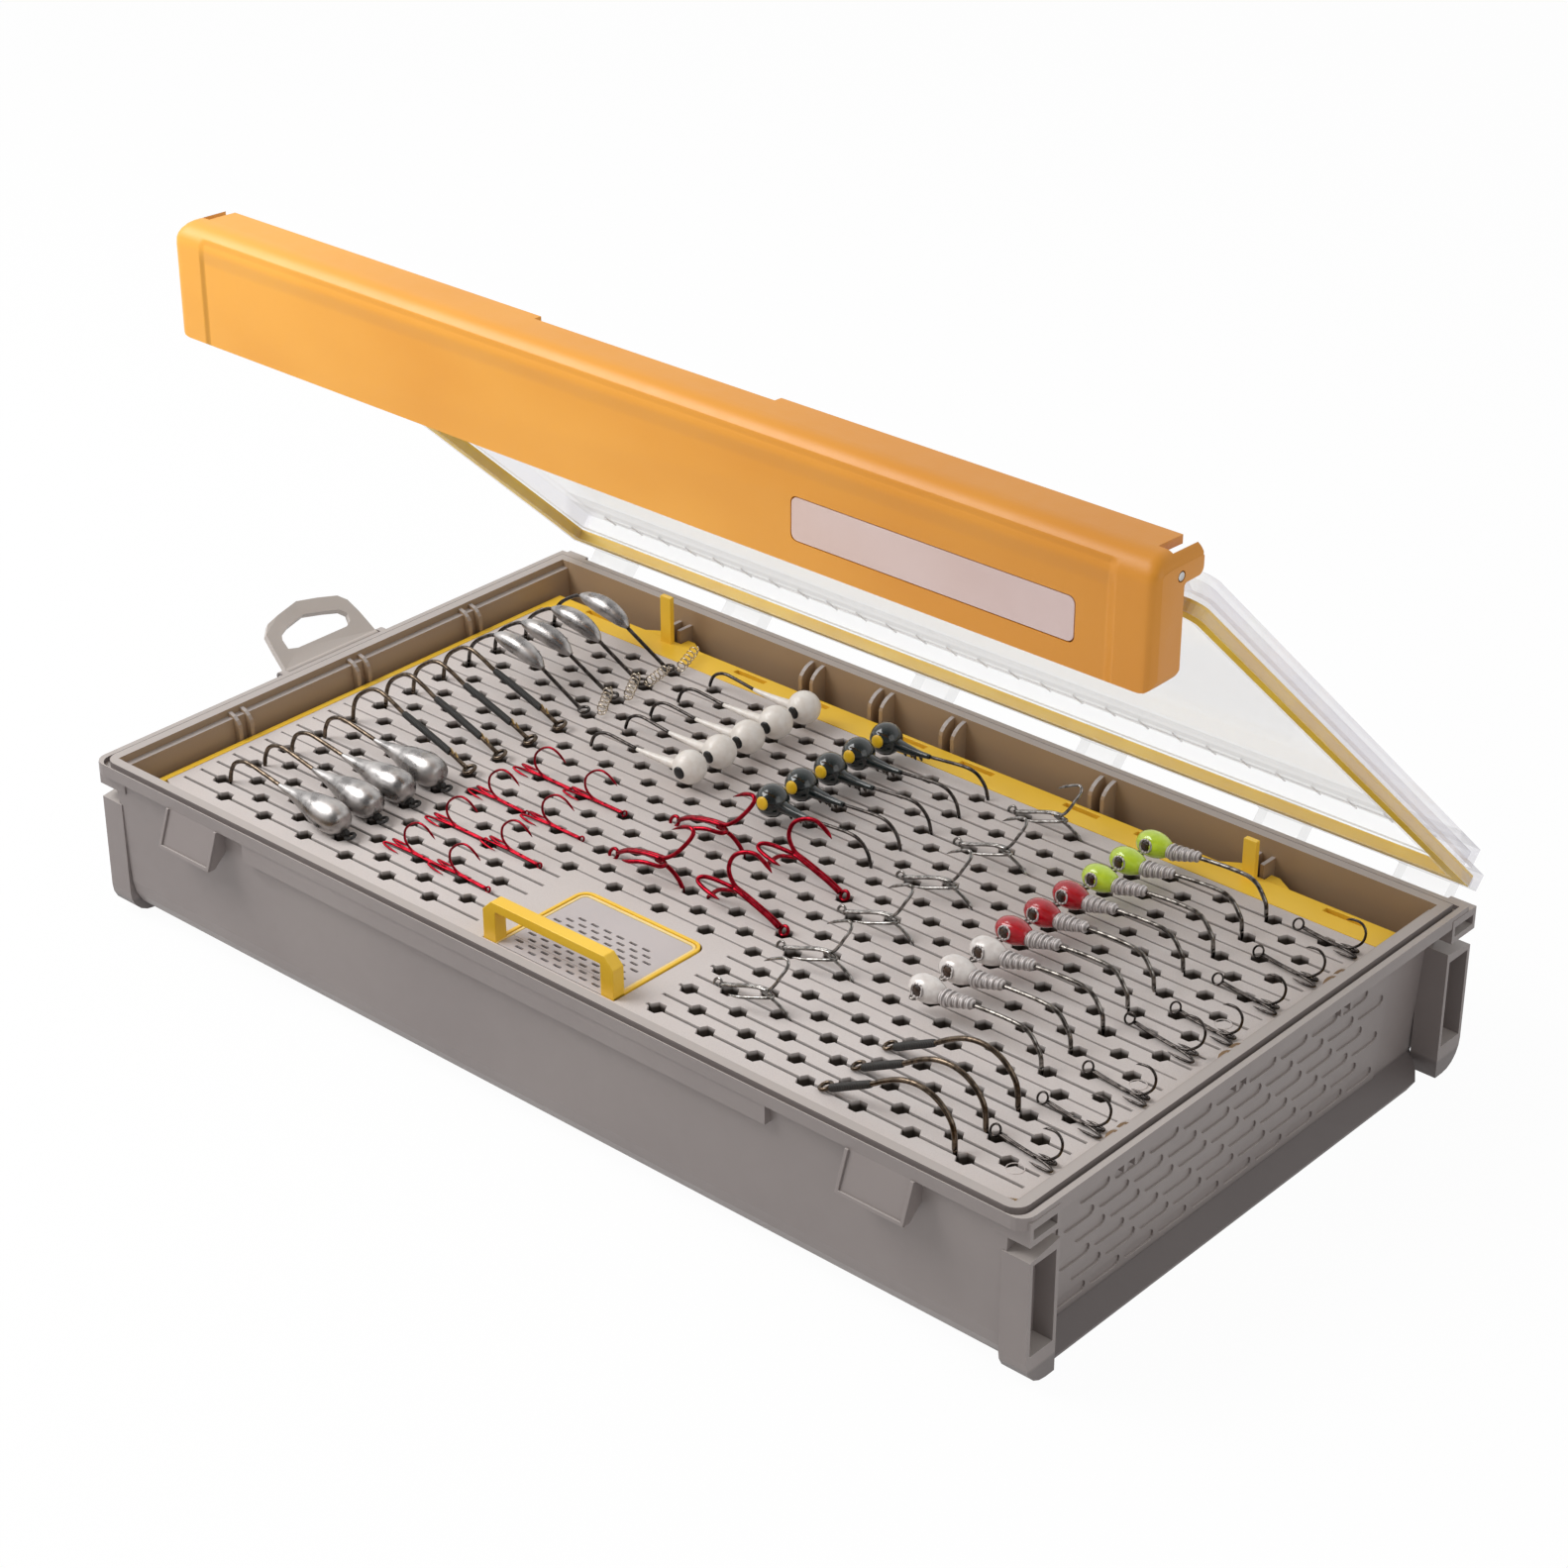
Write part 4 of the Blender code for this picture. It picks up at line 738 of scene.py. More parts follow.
def hook(mesh, facing, radius, *places):
    """A shank and its bend, with the last stretch down into its slit."""
    run(mesh, facing, [(*place, radius) for place in places])
    along, height = places[-1]
    tip = [(along, height, radius), (along + 0.25, height - 1.6, radius * 0.7)]
    run(mesh, facing, tip + [(along + 0.2, height - 3.0, radius * 0.25)], 0, 8, 2)


swimbait_start = -103.5
# By row: where each spring starts and ends on the mat
spring_ends = {
    0: ((-97.2, 71.0), (-103.4, 86.7)), 2: ((-98.3, 56.7), (-100.6, 69.9)),
    4: ((-95.6, 45.1), (-104.4, 59.8)), 6: ((-94.6, 32.2), (-104.5, 46.5)),
}


def swimbait(mesh, facing, row):
    """A weighted bend, an eye and the coiled spring that hangs on it."""
    hook(
        mesh, facing, .65, (0, 1.1), (8, 5.2), (16.4, 9.6), (22, 12.6), (30, 14.6), (38, 14.7),
        (42.1, 13.2), (47.4, 9.6), (50.4, 5.6), (51.4, 1),
    )
    weight = [
        (16.6, 9.9, .7), (18, 10.9, 1.7), (20, 12, 2.5), (23, 13.2, 3), (27, 14.2, 3.2), (31, 14.7, 3),
        (35, 14.9, 2.2), (37.4, 14.9, 1.2), (38.2, 14.8, .75),
    ]
    run(mesh, facing, weight, 1, 16, 3)
    ring(mesh, (facing * -1.6, 0, 1.3), (1, 0, 0), (0, 1, 0.1), 1.7, 0.5)
    row_y = (first_row - row * row_pitch) / mm
    (x0, y0), (x1, y1) = spring_ends[row]
    start = Vector((x0 - swimbait_start, y0 - row_y, 2.1))
    axis = Vector((x1 - swimbait_start, y1 - row_y, 2.4)) - start
    side = axis.cross(Vector((0, 0, 1))).normalized()
    other = side.cross(axis).normalized()
    turns, total = 6.2, 74
    coil = []
    for step in range(total + 1):
        share = step / total
        turn = math.tau * turns * share
        reach = 1.6 * min(1.0, 0.35 + share * 4, 0.5 + (1 - share) * 5)
        place = start + axis * share + (side * math.cos(turn) + other * math.sin(turn)) * reach
        coil.append((*place, 0.22))
    sweep(mesh, coil, 6, 2)


def worm(mesh, facing, row):
    """A bound shank with two keeper barbs."""
    hook(
        mesh, facing, .7, (0, 1.8), (7, 4.7), (17, 8), (27, 11.1), (32.9, 13.7), (37.8, 15.3),
        (41.8, 14.9), (45.3, 12.9), (48.2, 10.6), (50.2, 7.9), (51.3, 4.8), (51.9, 1),
    )
    binding = [(7.2, 4.8, .8), (7.8, 5.0, 1.15), (17, 8.05, 1.15), (26.4, 10.95, 1.1), (27.2, 11.2, .8)]
    run(mesh, facing, binding, 1, 12, 8)
    ring(mesh, (facing * -1.4, 0, 1.7), (1, 0, 0.25), (0, 1, 0.35), 1.9, 0.62)
    for along in (3.4, 5.2):
        height = 1.8 + along * 0.414
        barb = [(along, height, .38), (along + 1.0, height + 1.9, .28), (along + 1.3, height + 2.5, .1)]
        run(mesh, facing, barb, 2, 6, 2)


def teardrop(mesh, facing, row):
    """A lead drop moulded on a hook, with a knot and an eye at its nose."""
    head = [
        (0, 5, .8), (0.5, 5.0, 2.3), (1.6, 5.1, 3.9), (4, 5.3, 5), (8.5, 5.6, 5.25), (14, 6.1, 4.4),
        (20, 6.6, 2.7), (27, 7.2, 1.25), (30, 7.5, .72),
    ]
    run(mesh, facing, head, 1, 20, 4)
    hook(
        mesh, facing, .68, (29, 7.4), (36, 8.6), (41.8, 9.6), (45, 9.8), (48.2, 9.1), (50.7, 7.6),
        (52.1, 5.8), (53.2, 3.3), (53.6, 1),
    )
    run(mesh, facing, [(-0.4, 2.6, .9), (0.9, 1.9, 1.35), (2.4, 1.6, 1.1), (3.4, 1.7, .6)], 2, 10, 3)
    ring(mesh, (facing * -1.6, 0, 1.7), (1, 0, 0.2), (0, 1, 0.2), 1.5, 0.5, 2)


def ball_head(mesh, facing, centre, height, radius, neck, eye_x, eye_z, eye_radius):
    """A ball with a tapering neck and a painted eye that looks to the front."""
    ball = [(along, height, max(width, 0.12)) for along, width in arc(centre, 0, radius, 180, -180, 12)]
    run(mesh, facing, ball, 1, 24, 1)
    run(mesh, facing, neck, 1, 14, 4)
    out = Vector((eye_x, -math.sqrt(1 - eye_x ** 2 - eye_z ** 2), eye_z))
    disc(mesh, Vector((facing * centre, 0, height)) + out * (radius - 0.25), out, eye_radius, 0.35, 2)


def white_ball(mesh, facing, row):
    neck = [(7.4, 6.9, 2.6), (10.6, 5.9, 1.75), (14, 5.6, 1.45), (20, 5.5, 1.05), (27.3, 5.6, .62)]
    ball_head(mesh, facing, 5.4, 6.9, 5.45, neck, 0.0, 0.0, 2.05)
    hook(
        mesh, facing, .55, (26.5, 5.55), (36.1, 6.6), (39.8, 6.8), (42.3, 6.2), (44.2, 5.1), (45.7, 3.5),
        (46.8, .9),
    )


def black_ball(mesh, facing, row):
    neck = [(7.6, 7.5, 2.6), (10.4, 7.0, 2.0), (14, 6.8, 1.6), (18, 6.85, 1.1), (22.4, 7.1, .8)]
    ball_head(mesh, facing, 5.3, 7.7, 5.25, neck, 0.04, 0.19, 2.1)
    hook(
        mesh, facing, .55, (22, 7.1), (33.2, 8.2), (37.5, 8.3), (40.3, 7.7), (42.5, 6.1), (44.1, 3.9),
        (45, .9),
    )
    for index, across in enumerate((-0.35, 0.3, -0.25, 0.35)):
        along = 12.6 + index * 1.9
        stub = [(along, 6.3, .55), (along + 0.5, 5.2, .5), (along + 0.9, 4.4, .22)]
        run(mesh, facing, stub, 0, 6, 2, across)


def collar_jig(mesh, facing, row):
    """A rounded snout with an eye socket, a ringed collar and a line tie."""
    snout = [
        (-0.2, 8.4, 1.1), (0.5, 8.45, 2.3), (2.0, 8.6, 3.45), (4.4, 8.8, 4.05), (7.0, 8.85, 3.9),
        (9.4, 8.8, 3.1), (10.8, 8.7, 2.2), (11.2, 8.7, 1.5),
    ]
    run(mesh, facing, snout, 1, 24, 4)
    collar = [(10.9, 8.6, 2.2)]
    for fold in range(5):
        along = 11.4 + fold * 2.05
        width = 2.65 - fold * 0.22
        height = 8.6 + fold * 0.42
        collar += [(along, height, width - 0.45), (along + 0.9, height + 0.15, width)]
        collar.append((along + 1.7, height + 0.3, width - 0.2))
    collar.append((21.9, 10.5, .8))
    run(mesh, facing, collar, 2, 16, 3)
    hook(
        mesh, facing, .65, (21.4, 10.35), (29.6, 11), (37.1, 11.1), (40.2, 10.5), (42.4, 9.1),
        (44.2, 6.6), (45.5, 4.1), (45.8, 1),
    )
    out = Vector((0.0, -0.97, 0.22)).normalized()
    centre = Vector((facing * 5.0, 0.0, 8.8)) + out * 3.75
    disc(mesh, centre, out, 1.85, 0.4, 3)
    ring(mesh, centre + out * 0.15, (1, 0, 0), out.cross(Vector((1, 0, 0))), 1.95, 0.3, 2)
    ring(mesh, (facing * 0.9, 0, 4.2), (1, 0, 0.1), (0, 1, 0.1), 1.15, 0.4, 0)


def wide_gap(mesh, facing, row):
    """A wide bend with a bound shank."""
    hook(
        mesh, facing, .8, (0, 1.2), (7, 5), (14.1, 8.7), (18.7, 11.7), (23.1, 14), (26.9, 15.1),
        (30.6, 15.3), (34.4, 14.5), (37.5, 12.8), (40, 10.3), (41.5, 7.8), (42.2, 4.7), (42.4, 1.1),
    )
    binding = [(0.4, 1.4, .9), (1.2, 1.9, 1.2), (7, 5, 1.2), (13.2, 8.25, 1.15), (14.4, 8.9, .85)]
    run(mesh, facing, binding, 1, 12, 6)
    ring(mesh, (facing * -1.3, 0, 1.4), (1, 0, 0.35), (0, 1, 0.2), 1.7, 0.6)


# Each treble: its eye as (along, height, aside, radius), then its shank and three prongs as places
# (along, height, aside), or (along, height) in the middle plane
treble_shapes = {
    "red_right": [
        (-1.4, .9, 0, 1.5),
        [(.2, 1.4), (4.1, 3.2), (9.1, 4.9), (14.6, 6.6), (18.1, 7.4)],
        [(14.6, 6.7), (18.7, 8.3, .3), (21.5, 11.2, 1.2), (21.8, 14.1, 2.4), (20.4, 16.2, 3.4),
         (17.2, 17.7, 4.4), (14.3, 17.8, 5), (12, 17, 5), (9.8, 15.7, 5), (8.1, 14.1, 5)],
        [(17.2, 7.2), (25, 8, -1.2), (28.6, 8, -2.6), (29.4, 6.9, -3.6), (27, 5.9, -4.2),
         (22.5, 5.1, -4.6), (19.6, 4.9, -4.8)],
        [(17.4, 6.4), (21.1, 5.4), (24.3, 4.2), (27.2, 1.7), (28.6, .1), (29, -1.4)],
    ],
    "red_left": [
        (-5.6, .9, -.6, 1.7),
        [(-4.2, 1.6), (.2, 4.1), (8.4, 6.2), (14.2, 6.8)],
        [(11.5, 6.4), (15, 7.2), (18.2, 9.3, .6), (20.8, 12.2, 1.6), (22.8, 15.4, 3), (23, 17.2, 4),
         (21.3, 17.8, 4.6), (17.8, 16.6, 5), (13.4, 14.1, 5)],
        [(11.5, 6), (15.4, 6.2, -.6), (17.3, 6.6, -2.4), (16.4, 6.8, -4.2), (11.5, 6.9, -5.5),
         (6.7, 5.6, -6.5), (3.8, 5, -6.6)],
        [(11.5, 5.4), (15.5, 4.9), (18.3, 3.8), (20.6, 2), (22, 0), (22.8, -1.6)],
    ],
    "chrome": [
        (-2, .6, .2, 1.4),
        [(-.8, .9), (4.1, 2.4), (8.9, 4.2), (13.3, 5.5), (17, 5.9)],
        [(14.2, 5.5), (17.2, 6.3, .1), (19.2, 8.8, .5), (20.5, 11.3, 1), (21.6, 13.6, 2),
         (21.7, 15.1, 2.8), (20.9, 15.9, 3.2), (19.2, 15.6, 3.5), (14.9, 13.5, 3.8), (12, 11.7, 3.8)],
        [(14.2, 5.3), (18, 5.5, -.4), (20.2, 6.1, -1.9), (19.4, 6.2, -3.6), (14.4, 4.9, -4.8),
         (10.6, 3.8, -5.4), (7, 3.2, -5.6)],
        [(14.2, 4.9), (17.2, 4.1), (20.8, 2.6), (23.6, .8), (25.2, -1.2)],
    ],
    "small_red": [
        (4.2, .5, 0, .9),
        [(5, .6), (8, .7), (12, .8), (17.5, .9)],
        [(12, .9, .2), (17.4, 1.3, .2), (20.4, 3.6, .3), (20.2, 7.3, .4), (17.2, 10.4, .5),
         (13.9, 11.8, .5), (11, 11.3, .5), (8.8, 9.9, .5), (7.4, 8.7, .5)],
        [(15.8, .9, -.2), (22.6, .9, -.5), (26.8, 1.2, -1.3), (27.6, 1, -2.1), (24.4, .6, -2.6),
         (20.4, .5, -2.9)],
        [(15.8, .9, .2), (22.6, .9, .4), (26.4, 1.1, 1), (27, .9, 1.7), (24, .6, 2.1), (20.8, .5, 2.3)],
    ],
    "small_dark": [
        (-.4, 1.9, 0, 1.7),
        [(1.2, 1.5, -.1), (5, 1.2, -.5), (10, 1, -1), (14.6, 1, -1.5)],
        [(10.5, 1.1, -1.1), (15.4, 1.2, -1.4), (18.4, 2, -1.2), (21, 4.3, -.9), (21.8, 7, -.5),
         (21.2, 9, -.2), (19.4, 10.2), (16.8, 10.1), (15, 9.4)],
        [(12.4, 1, -1.3), (17.4, .9, -2), (20.8, .9, -3.2), (20.4, .8, -4.2), (17, .7, -4.2),
         (13.8, .6, -3.8)],
        [(12.4, 1, -1.3), (17.4, .9, -1.4), (19.8, .9, -.8), (19.2, .8, .2), (16, .7, .6), (13.4, .6, .7)],
    ],
}


def treble(mesh, facing, name, wire, scale=1.0, shift=0.0):
    """Three barbed prongs round one shank of two wires, with an eye at its end."""
    eye, shank, *prongs = treble_shapes[name]

    def at(places, side=0.0):
        return [
            Vector((facing * (along * scale + shift), sum(aside) * scale + side, height * scale))
            for along, height, *aside in places
        ]

    for side in (-1, 1):
        sweep(mesh, eased([(*place, wire) for place in at(shank, side * wire * 0.75)], 3), 8)
    ring(mesh, at([eye[:3]])[0], (1, 0, 0.2), (0, 0.35, 1), eye[3], wire * 0.8)
    for prong in prongs:
        places = at(prong)
        stations = [(*place, wire) for place in places[:-1]] + [(*places[-1], wire * 0.2)]
        sweep(mesh, eased(stations, 4), 8)
        back = (places[-1] - places[-2]).normalized()
        start = places[-2] + back * wire * 1.5
        inward = (places[len(places) // 2] - places[-2]).normalized()
        barb = start - back * wire * 3.2 + inward * wire * 1.8
        sweep(mesh, [(*start, wire * 0.6), (*barb, wire * 0.12)], 6)


def chrome_treble(mesh, facing, row):
    treble(mesh, facing, "chrome", 0.50)


def red_treble(mesh, facing, row):
    treble(mesh, facing, "red_left" if facing > 0 else "red_right", 0.68)


def small_red_treble(mesh, facing, row):
    treble(mesh, facing, "small_red", 0.38)


def small_dark_treble(mesh, facing, row):
    """One of them, in row 11, is larger than the rest and lies further to the left."""
    scale, shift = (1.15, -2.4) if row == 11 else (1.0, 3.4)
    treble(mesh, facing, "small_dark", 0.40, scale, shift)


def collar_kind(head, paint, start, rows):
    return collar_jig, ["gun_wire", head, "collar", "eye_brown"], paint, [(start, 1, rows)]


# Each kind: its builder, its finishes, its slot and its groups as (start, facing, rows)
ball_rows = (0, 2, 4, 6, 8)
red_rows = (12, 15, 18, 21)
kinds = {
    "swimbait_hook": (
        swimbait, ["black_wire", "lead", "spring"], "black_steel", [(swimbait_start, -1, (0, 2, 4, 6))],
    ),
    "worm_hook": (worm, ["bronze_wire", "thread", "brass"], "black_steel", [(-101.0, -1, (8, 10, 12, 14))]),
    "teardrop_jig": (teardrop, ["bronze_wire", "lead", "thread"], "lead", [(-97.5, -1, (16, 18, 20, 22))]),
    "white_ball_jig": (
        white_ball, ["black_wire", "pearl", "eye_black"], "white_paint", [(-37.7, -1, ball_rows)],
    ),
    "black_ball_jig": (
        black_ball, ["black_wire", "gloss_black", "eye_yellow"], "black_paint", [(-14.4, 1, ball_rows)],
    ),
    "white_collar_jig": collar_kind("white_head", "white_paint", 89.2, (12, 14, 16)),
    "red_collar_jig": collar_kind("red_head", "red_paint", 87.9, (6, 8, 10)),
    "chartreuse_collar_jig": collar_kind("green_head", "chartreuse_paint", 88.3, (0, 2, 4)),
    "wide_gap_hook": (wide_gap, ["bronze_wire", "thread"], "bronze_steel", [(99.4, 1, (19, 21, 23))]),
    "chrome_treble": (chrome_treble, ["chrome"], "steel", [(42.9, 1, (0, 4, 8, 12, 16, 20))]),
    "red_treble": (red_treble, ["red_wire"], "red_steel", [(-25.05, 1, (11, 15)), (35.07, -1, (11, 15))]),
    "small_red_treble": (
        small_red_treble, ["red_wire"], "red_steel",
        [(start, -1, [row]) for start, row in zip((-63.5, -63.7, -61.0, -58.8), red_rows)]
        + [(start, -1, [row]) for start, row in zip((-41.5, -40.2, -38.4, -39.7), red_rows)],
    ),
    "small_dark_treble": (
        small_dark_treble, ["black_wire"], "black_steel", [(142.0, 1, (0, 3, 6, 9, 11, 15, 18, 21))],
    ),
}
draw = random.Random(11)
for kind, (build, finish_names, slot_name, places) in kinds.items():
    number = 0
    for start, facing, rows in places:
        for row in rows:
            number += 1
            node_name = f"{kind}_{number}"
            mesh = bmesh.new()
            build(mesh, facing, row)
            turn = Matrix.Rotation(math.radians(draw.uniform(-1.6, 1.6)), 4, "Z")
            place = Matrix.Translation((start * mm, first_row - row * row_pitch, mat_top))
            bmesh.ops.transform(mesh, matrix=place @ turn, verts=mesh.verts)
            replaced = [node_name] if node_name in nodes else []
            new_piece(f"{node_name}_dressed", mesh, finish_names, "tray", slot_name, True, replaced)


# Details moulded on the box, the lid and the latch

grey_part = (["grey"], "base", "grey_plastic", False)


def copied(node_name):
    """A node's own mesh, with its flat stretches as whole faces."""
    mesh = bmesh.new()
    mesh.from_mesh(nodes[node_name].data)
    bmesh.ops.remove_doubles(mesh, verts=mesh.verts, dist=1e-6)
    bmesh.ops.dissolve_limit(mesh, angle_limit=math.radians(0.5), verts=mesh.verts, edges=mesh.edges)
    return mesh


def latch_shell():
    """The latch with soft corners at its two ends, and its cheeks nearly as short as its skin."""
    mesh = copied("latch")
    skin_low = latch_low.z + cheek_drop
    for vert in mesh.verts:
        if vert.co.z < skin_low:
            vert.co.z = skin_low + (vert.co.z - skin_low) * 0.08
    for side in (-1, 1):
        for index in range(8):
            cut = side * (latch_high.x - end_round * (1.0 - math.sin(math.radians(10.5 * index))))
            whole = mesh.verts[:] + mesh.edges[:] + mesh.faces[:]
            bmesh.ops.bisect_plane(mesh, geom=whole, dist=1e-7, plane_co=(cut, 0, 0), plane_no=(side, 0, 0))
    high = max(vert.co.z for vert in mesh.verts) - end_round
    low = min(vert.co.z for vert in mesh.verts) + end_round
    front = min(vert.co.y for vert in mesh.verts) + front_round
    for vert in mesh.verts:
        for axis, level, radius, way in (
            (2, high, end_round, 1), (2, low, end_round, -1), (1, front, front_round, -1),
        ):
            reach = min(abs(vert.co.x) - (latch_high.x - radius), radius * 0.97)
            height = (vert.co[axis] - level) * way
            if reach > 0.0 and height > 0.0:
                vert.co[axis] = level + way * height * math.sqrt(1.0 - (reach / radius) ** 2)
    end = latch_high.x - 0.01 * mm
    rim = []
    for edge in mesh.edges:
        places = [vert.co for vert in edge.verts]
        at_end = all(abs(place.x) >= end for place in places)
        off_bore = all((place.yz - pin_middle.yz).length >= bore_reach for place in places)
        if at_end and off_bore and len(edge.link_faces) == 2 and edge.calc_face_angle() > 1.0:
            rim.append(edge)
    bmesh.ops.bevel(
        mesh, geom=rim, offset=0.9 * mm, offset_type="OFFSET", segments=4, profile=0.5, affect="EDGES",
        clamp_overlap=True,
    )
    piece = new_piece("latch_shell", mesh, ["orange"], "latch", "orange_plastic", True, ["latch"])
    piece.data.set_sharp_from_angle(angle=math.radians(38))
    soften(piece, 0.35 * mm, 50.0)


end_round, front_round = 4.6 * mm, 3.0 * mm
cheek_drop, bore_reach = 4.1 * mm, 2.2 * mm
pin_low, pin_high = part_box("latch_pin_left")
pin_middle = (pin_low + pin_high) / 2
latch_shell()


def base_shell():
    """The box, with its catches' tips as near the wall as they show."""
    catch_line, catch_shift = -105 * mm, 6.2 * mm
    mesh = copied("box_base")
    for vert in mesh.verts:
        if vert.co.y < catch_line:
            vert.co.y += catch_shift
    piece = new_piece("base_shell", mesh, *grey_part, ["box_base"])
    soften(piece, 0.35 * mm)


def catch_edges():
    """The thin raised edge round three sides of each catch's face."""
    upper, lower = Vector((0.0, -101.3, 50.9)) * mm, Vector((0.0, -105.6, 38.8)) * mm
    up = (upper - lower).normalized()
    along = Vector((1.0, 0.0, 0.0))
    out = along.cross(up)
    high, edge = (upper - lower).length - 0.4 * mm, 1.1 * mm
    half = [(catch_half, 0.0), (catch_half, high), (catch_half - edge, high), (catch_half - edge, edge)]
    shape = half + [(-x, y) for x, y in reversed(half)]
    turn = Matrix((along, up, out)).transposed().to_4x4()
    for name, side in (("catch_edge_left", -1), ("catch_edge_right", 1)):
        turn.translation = lower + along * (side * catch_middle) + out * 0.1 * mm
        mesh = sheet(name, [shape], 0.9 * mm, turn, 0.15 * mm)
        new_piece(name, mesh, *grey_part)


catch_half = 11.5 * mm
catch_middle = hit("box_base", (0.0, -0.1106, 0.0397), (1, 0, 0)).x + catch_half
catch_edges()


def lid_lines():
    """The fine moulded line with small cross ribs along the lid panel's back edge."""
    mesh = bmesh.new()
    sweep(mesh, [(-166.0, 93.2, 64.9, 0.2), (166.0, 93.2, 64.9, 0.2)], 6)
    for index in range(27):
        x = -162.5 + 12.5 * index
        sweep(mesh, [(x, 89.2, 64.8, 0.3), (x, 96.4, 64.8, 0.3)], 6)
    bmesh.ops.transform(mesh, matrix=lid_open, verts=mesh.verts)
    new_piece("lid_lines", mesh, ["clear_line"], "lid", "clear_plastic")


lid_lines()


def seal_band():
    """The seal, standing half as high again in the clear frame, as it shows through it."""
    mesh = copied("lid_gasket")
    bmesh.ops.transform(mesh, matrix=lid_open.inverted(), verts=mesh.verts)
    low = min(vert.co.z for vert in mesh.verts)
    for vert in mesh.verts:
        vert.co.z = low + (vert.co.z - low) * 1.5
    bmesh.ops.transform(mesh, matrix=lid_open, verts=mesh.verts)
    new_piece("seal_band", mesh, ["seal"], "lid", "yellow_rubber", False, ["lid_gasket"])


seal_band()


def rib_heads():
    """Rounded heads of the thin ribs that stand in pairs on the back wall and the end walls."""
    mesh = bmesh.new()
    half_gap, rib_width, foot, top = 2.35, 1.36 * mm, 42.0 * mm, 54.5 * mm
    back_ribs, end_ribs = (-58.6, -29.3, 0.0, 58.6), (-50.0, 0.0, 50.0)
    for places, wall, out in (
        (back_ribs, 98.2 * mm, Vector((0.0, 1.0, 0.0))),
        (end_ribs, 176.4 * mm, Vector((1.0, 0.0, 0.0))),
        (end_ribs, 176.4 * mm, Vector((-1.0, 0.0, 0.0))),
    ):
        up = Vector((0.0, 0.0, 1.0))
        across = out.cross(up)
        start = across * ((places[-1] + half_gap) * mm) + out * (60 * mm) + up * (47 * mm)
        front = hit("box_base", start, out).dot(out) - 0.06 * mm
        profile = [(wall, foot), (front, foot), (front, 50.1 * mm)]
        for share, drop in ((0.05, 3.2), (0.2, 1.9), (0.42, 0.8), (0.7, 0.2)):
            profile.append((front + (wall - front) * share, top - drop * mm))
        profile.append((wall, top))
        turn = Matrix((out, up, across)).transposed().to_4x4()
        for middle in places:
            for shift in (middle - half_gap, middle + half_gap):
                turn.translation = across * (shift * mm)
                join(mesh, sheet("rib", [profile], rib_width, turn))
    new_piece("rib_heads", mesh, *grey_part)


rib_heads()


def end_panels():
    """The thin raised skin of each end wall, with its staggered rows of round-ended recesses."""
    front, back, low, high = -77.5 * mm, 75.0 * mm, 5.8 * mm, 46.0 * mm
    pitch, row_drop, first_level, margin = 15.0, 6.26, 41.1, 7 * mm
    thickness, sunk = 0.7 * mm, 0.12 * mm
    for side in (-1, 1):
        upper = hit("box_base", (side * 0.3, 0.0, high_level), (-side, 0, 0)).x
        lower = hit("box_base", (side * 0.3, 0.0, low_level), (-side, 0, 0)).x
        up = Vector(((upper - lower) / (high_level - low_level), 0.0, 1.0)).normalized()
        along = Vector((0.0, side, 0.0))
        out = along.cross(up)
        turn = Matrix((along, up, out)).transposed().to_4x4()
        turn.translation = Vector((lower, 0.0, low_level)) + out * (thickness / 2 - sunk)
        foot, head = low - low_level, high - low_level
        outline = [(front * side, foot), (back * side, foot), (back * side, head), (front * side, head)]
        outlines = [outline[::side]]
        for row in range(6):
            height = (first_level - row_drop * row) * mm - low_level
            shift = -62.85 if row % 2 == 0 else -68.55
            for index in range(-1, 11):
                y = (shift + pitch * index) * mm
                if front + margin < y < back - margin:
                    outlines.append(capsule(y * side, height, 12.9 * mm, 3.7 * mm))
        panel = sheet("end_panel", outlines, thickness, turn, 0.14 * mm)
        name = "end_panel_right" if side > 0 else "end_panel_left"
        new_piece(name, panel, *grey_part)


end_panels()
# Last, since rays find nothing on a node that has been replaced
base_shell()


# Camera, light and floor

def look(name, energy, size, place, target):
    """An area light at a place, turned to a target."""
    lamp = bpy.data.lights.new(name, "AREA")
    lamp.energy = energy
    lamp.size = size
    holder = bpy.data.objects.new(name, lamp)
    holder.location = place
    holder.rotation_euler = (Vector(target) - Vector(place)).to_track_quat("-Z", "Y").to_euler()
    bpy.context.collection.objects.link(holder)


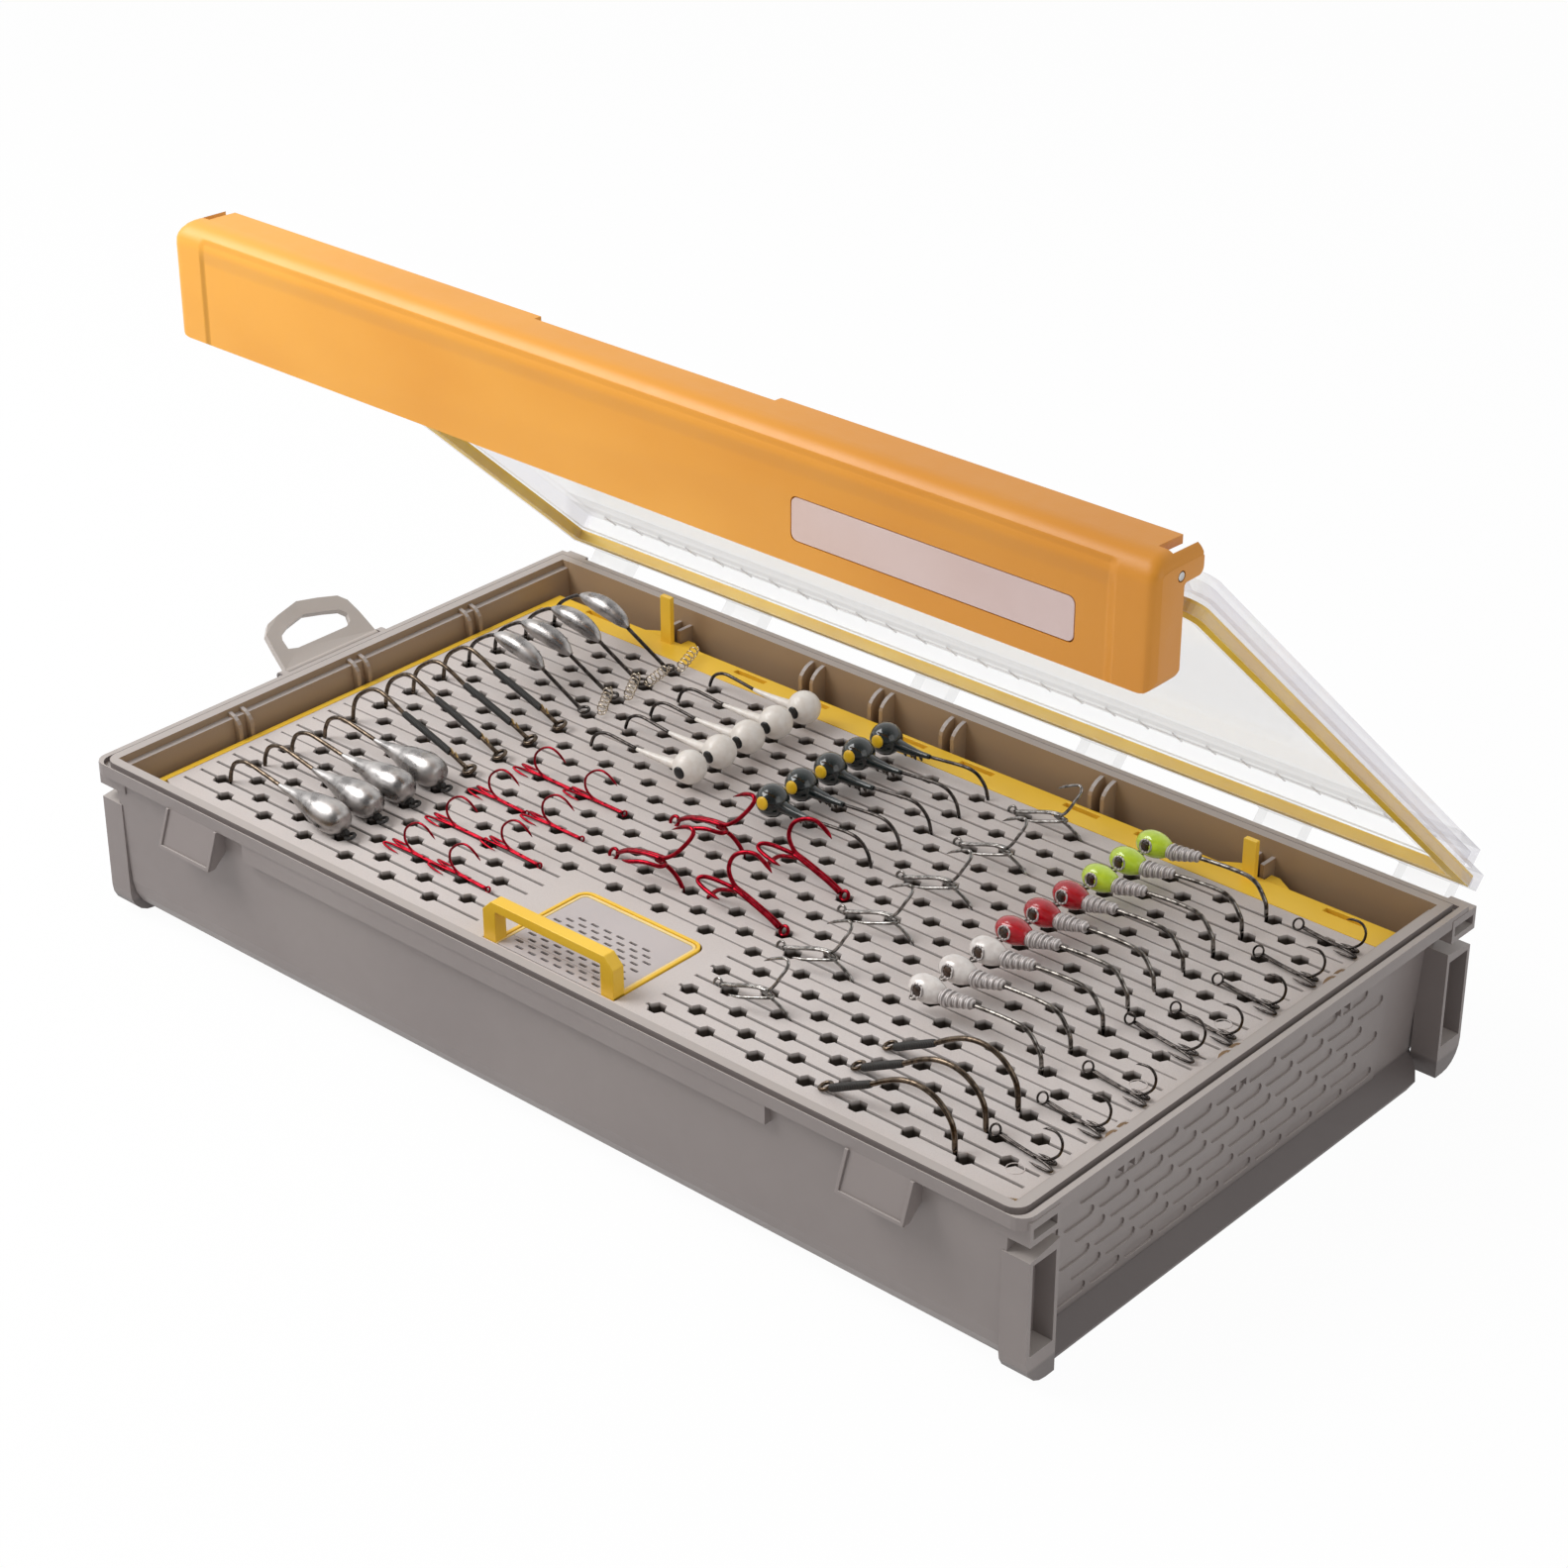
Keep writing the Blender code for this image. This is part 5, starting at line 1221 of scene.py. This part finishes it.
camera = bpy.data.cameras.new("camera")
camera.lens = 79.75
camera.sensor_width = 36.0
camera.clip_end = 50.0
viewer = bpy.data.objects.new("camera", camera)
viewer.location = (0.6006, -0.6627, 0.5591)
viewer.rotation_euler = (math.radians(61.35), 0.0, math.radians(41.60))
bpy.context.collection.objects.link(viewer)
bpy.context.scene.camera = viewer

look("key", 12.6, 0.75, (-0.74, -0.50, 0.95), (-0.04, 0.0, 0.05))
look("side", 3.5, 1.0, (1.35, -0.15, 0.75), (0.1, 0.0, 0.03))


def floor_finish():
    """White where it is seen, off gloss and through clear plastic too, and pale grey to other light."""
    made = Finish("pale_floor", Base_Color=(0.9, 0.9, 0.9), Roughness=0.9)
    camera_ray, glossy_ray, clear_ray = made.rays("Camera", "Glossy", "Transmission")
    glow = made.add("Emission", {}, {"Color": (1.0, 1.0, 1.0), "Strength": 1.0})
    seen = camera_ray.larger(glossy_ray).larger(clear_ray)
    lit = Link(made, made.shader.outputs[0])
    blend = made.add("MixShader", {}, {0: seen * 0.965, 1: lit, 2: glow})
    made.set(made.nodes["Material Output"], {"Surface": blend})
    return made.material


bpy.ops.mesh.primitive_plane_add(size=40.0, location=(0.0, 0.0, 0.0))
floor = bpy.context.object
floor.name = "floor"
floor.data.materials.append(floor_finish())

# A white world: dimmer as ambient light, and to gloss that faces the front and right
world = bpy.data.worlds.new("studio")
world.use_nodes = True
bpy.context.scene.world = world
sky = Tree(world.node_tree)
camera_ray, glossy_ray, clear_ray = sky.rays("Camera", "Glossy", "Transmission")
toward = sky.add("TexCoord", output="Generated")
facing_front = sky.add(
    "VectorMath", {"operation": "DOT_PRODUCT"}, {0: toward, 1: (0.42, -0.62, 0.66)}, output="Value"
)
front_share = sky.add("MapRange", {}, {"Value": facing_front, "From Min": 0.25, "From Max": 0.9})
gloss = glossy_ray * (1.0 - front_share * 0.80)
ambient = (1.0 - glossy_ray) * 0.42
strength = camera_ray.larger(clear_ray).larger(gloss).larger(ambient)
sky.set(sky.nodes["Background"], {"Color": (1.0, 1.0, 1.0), "Strength": strength})

bpy.context.scene.view_settings.view_transform = "Standard"
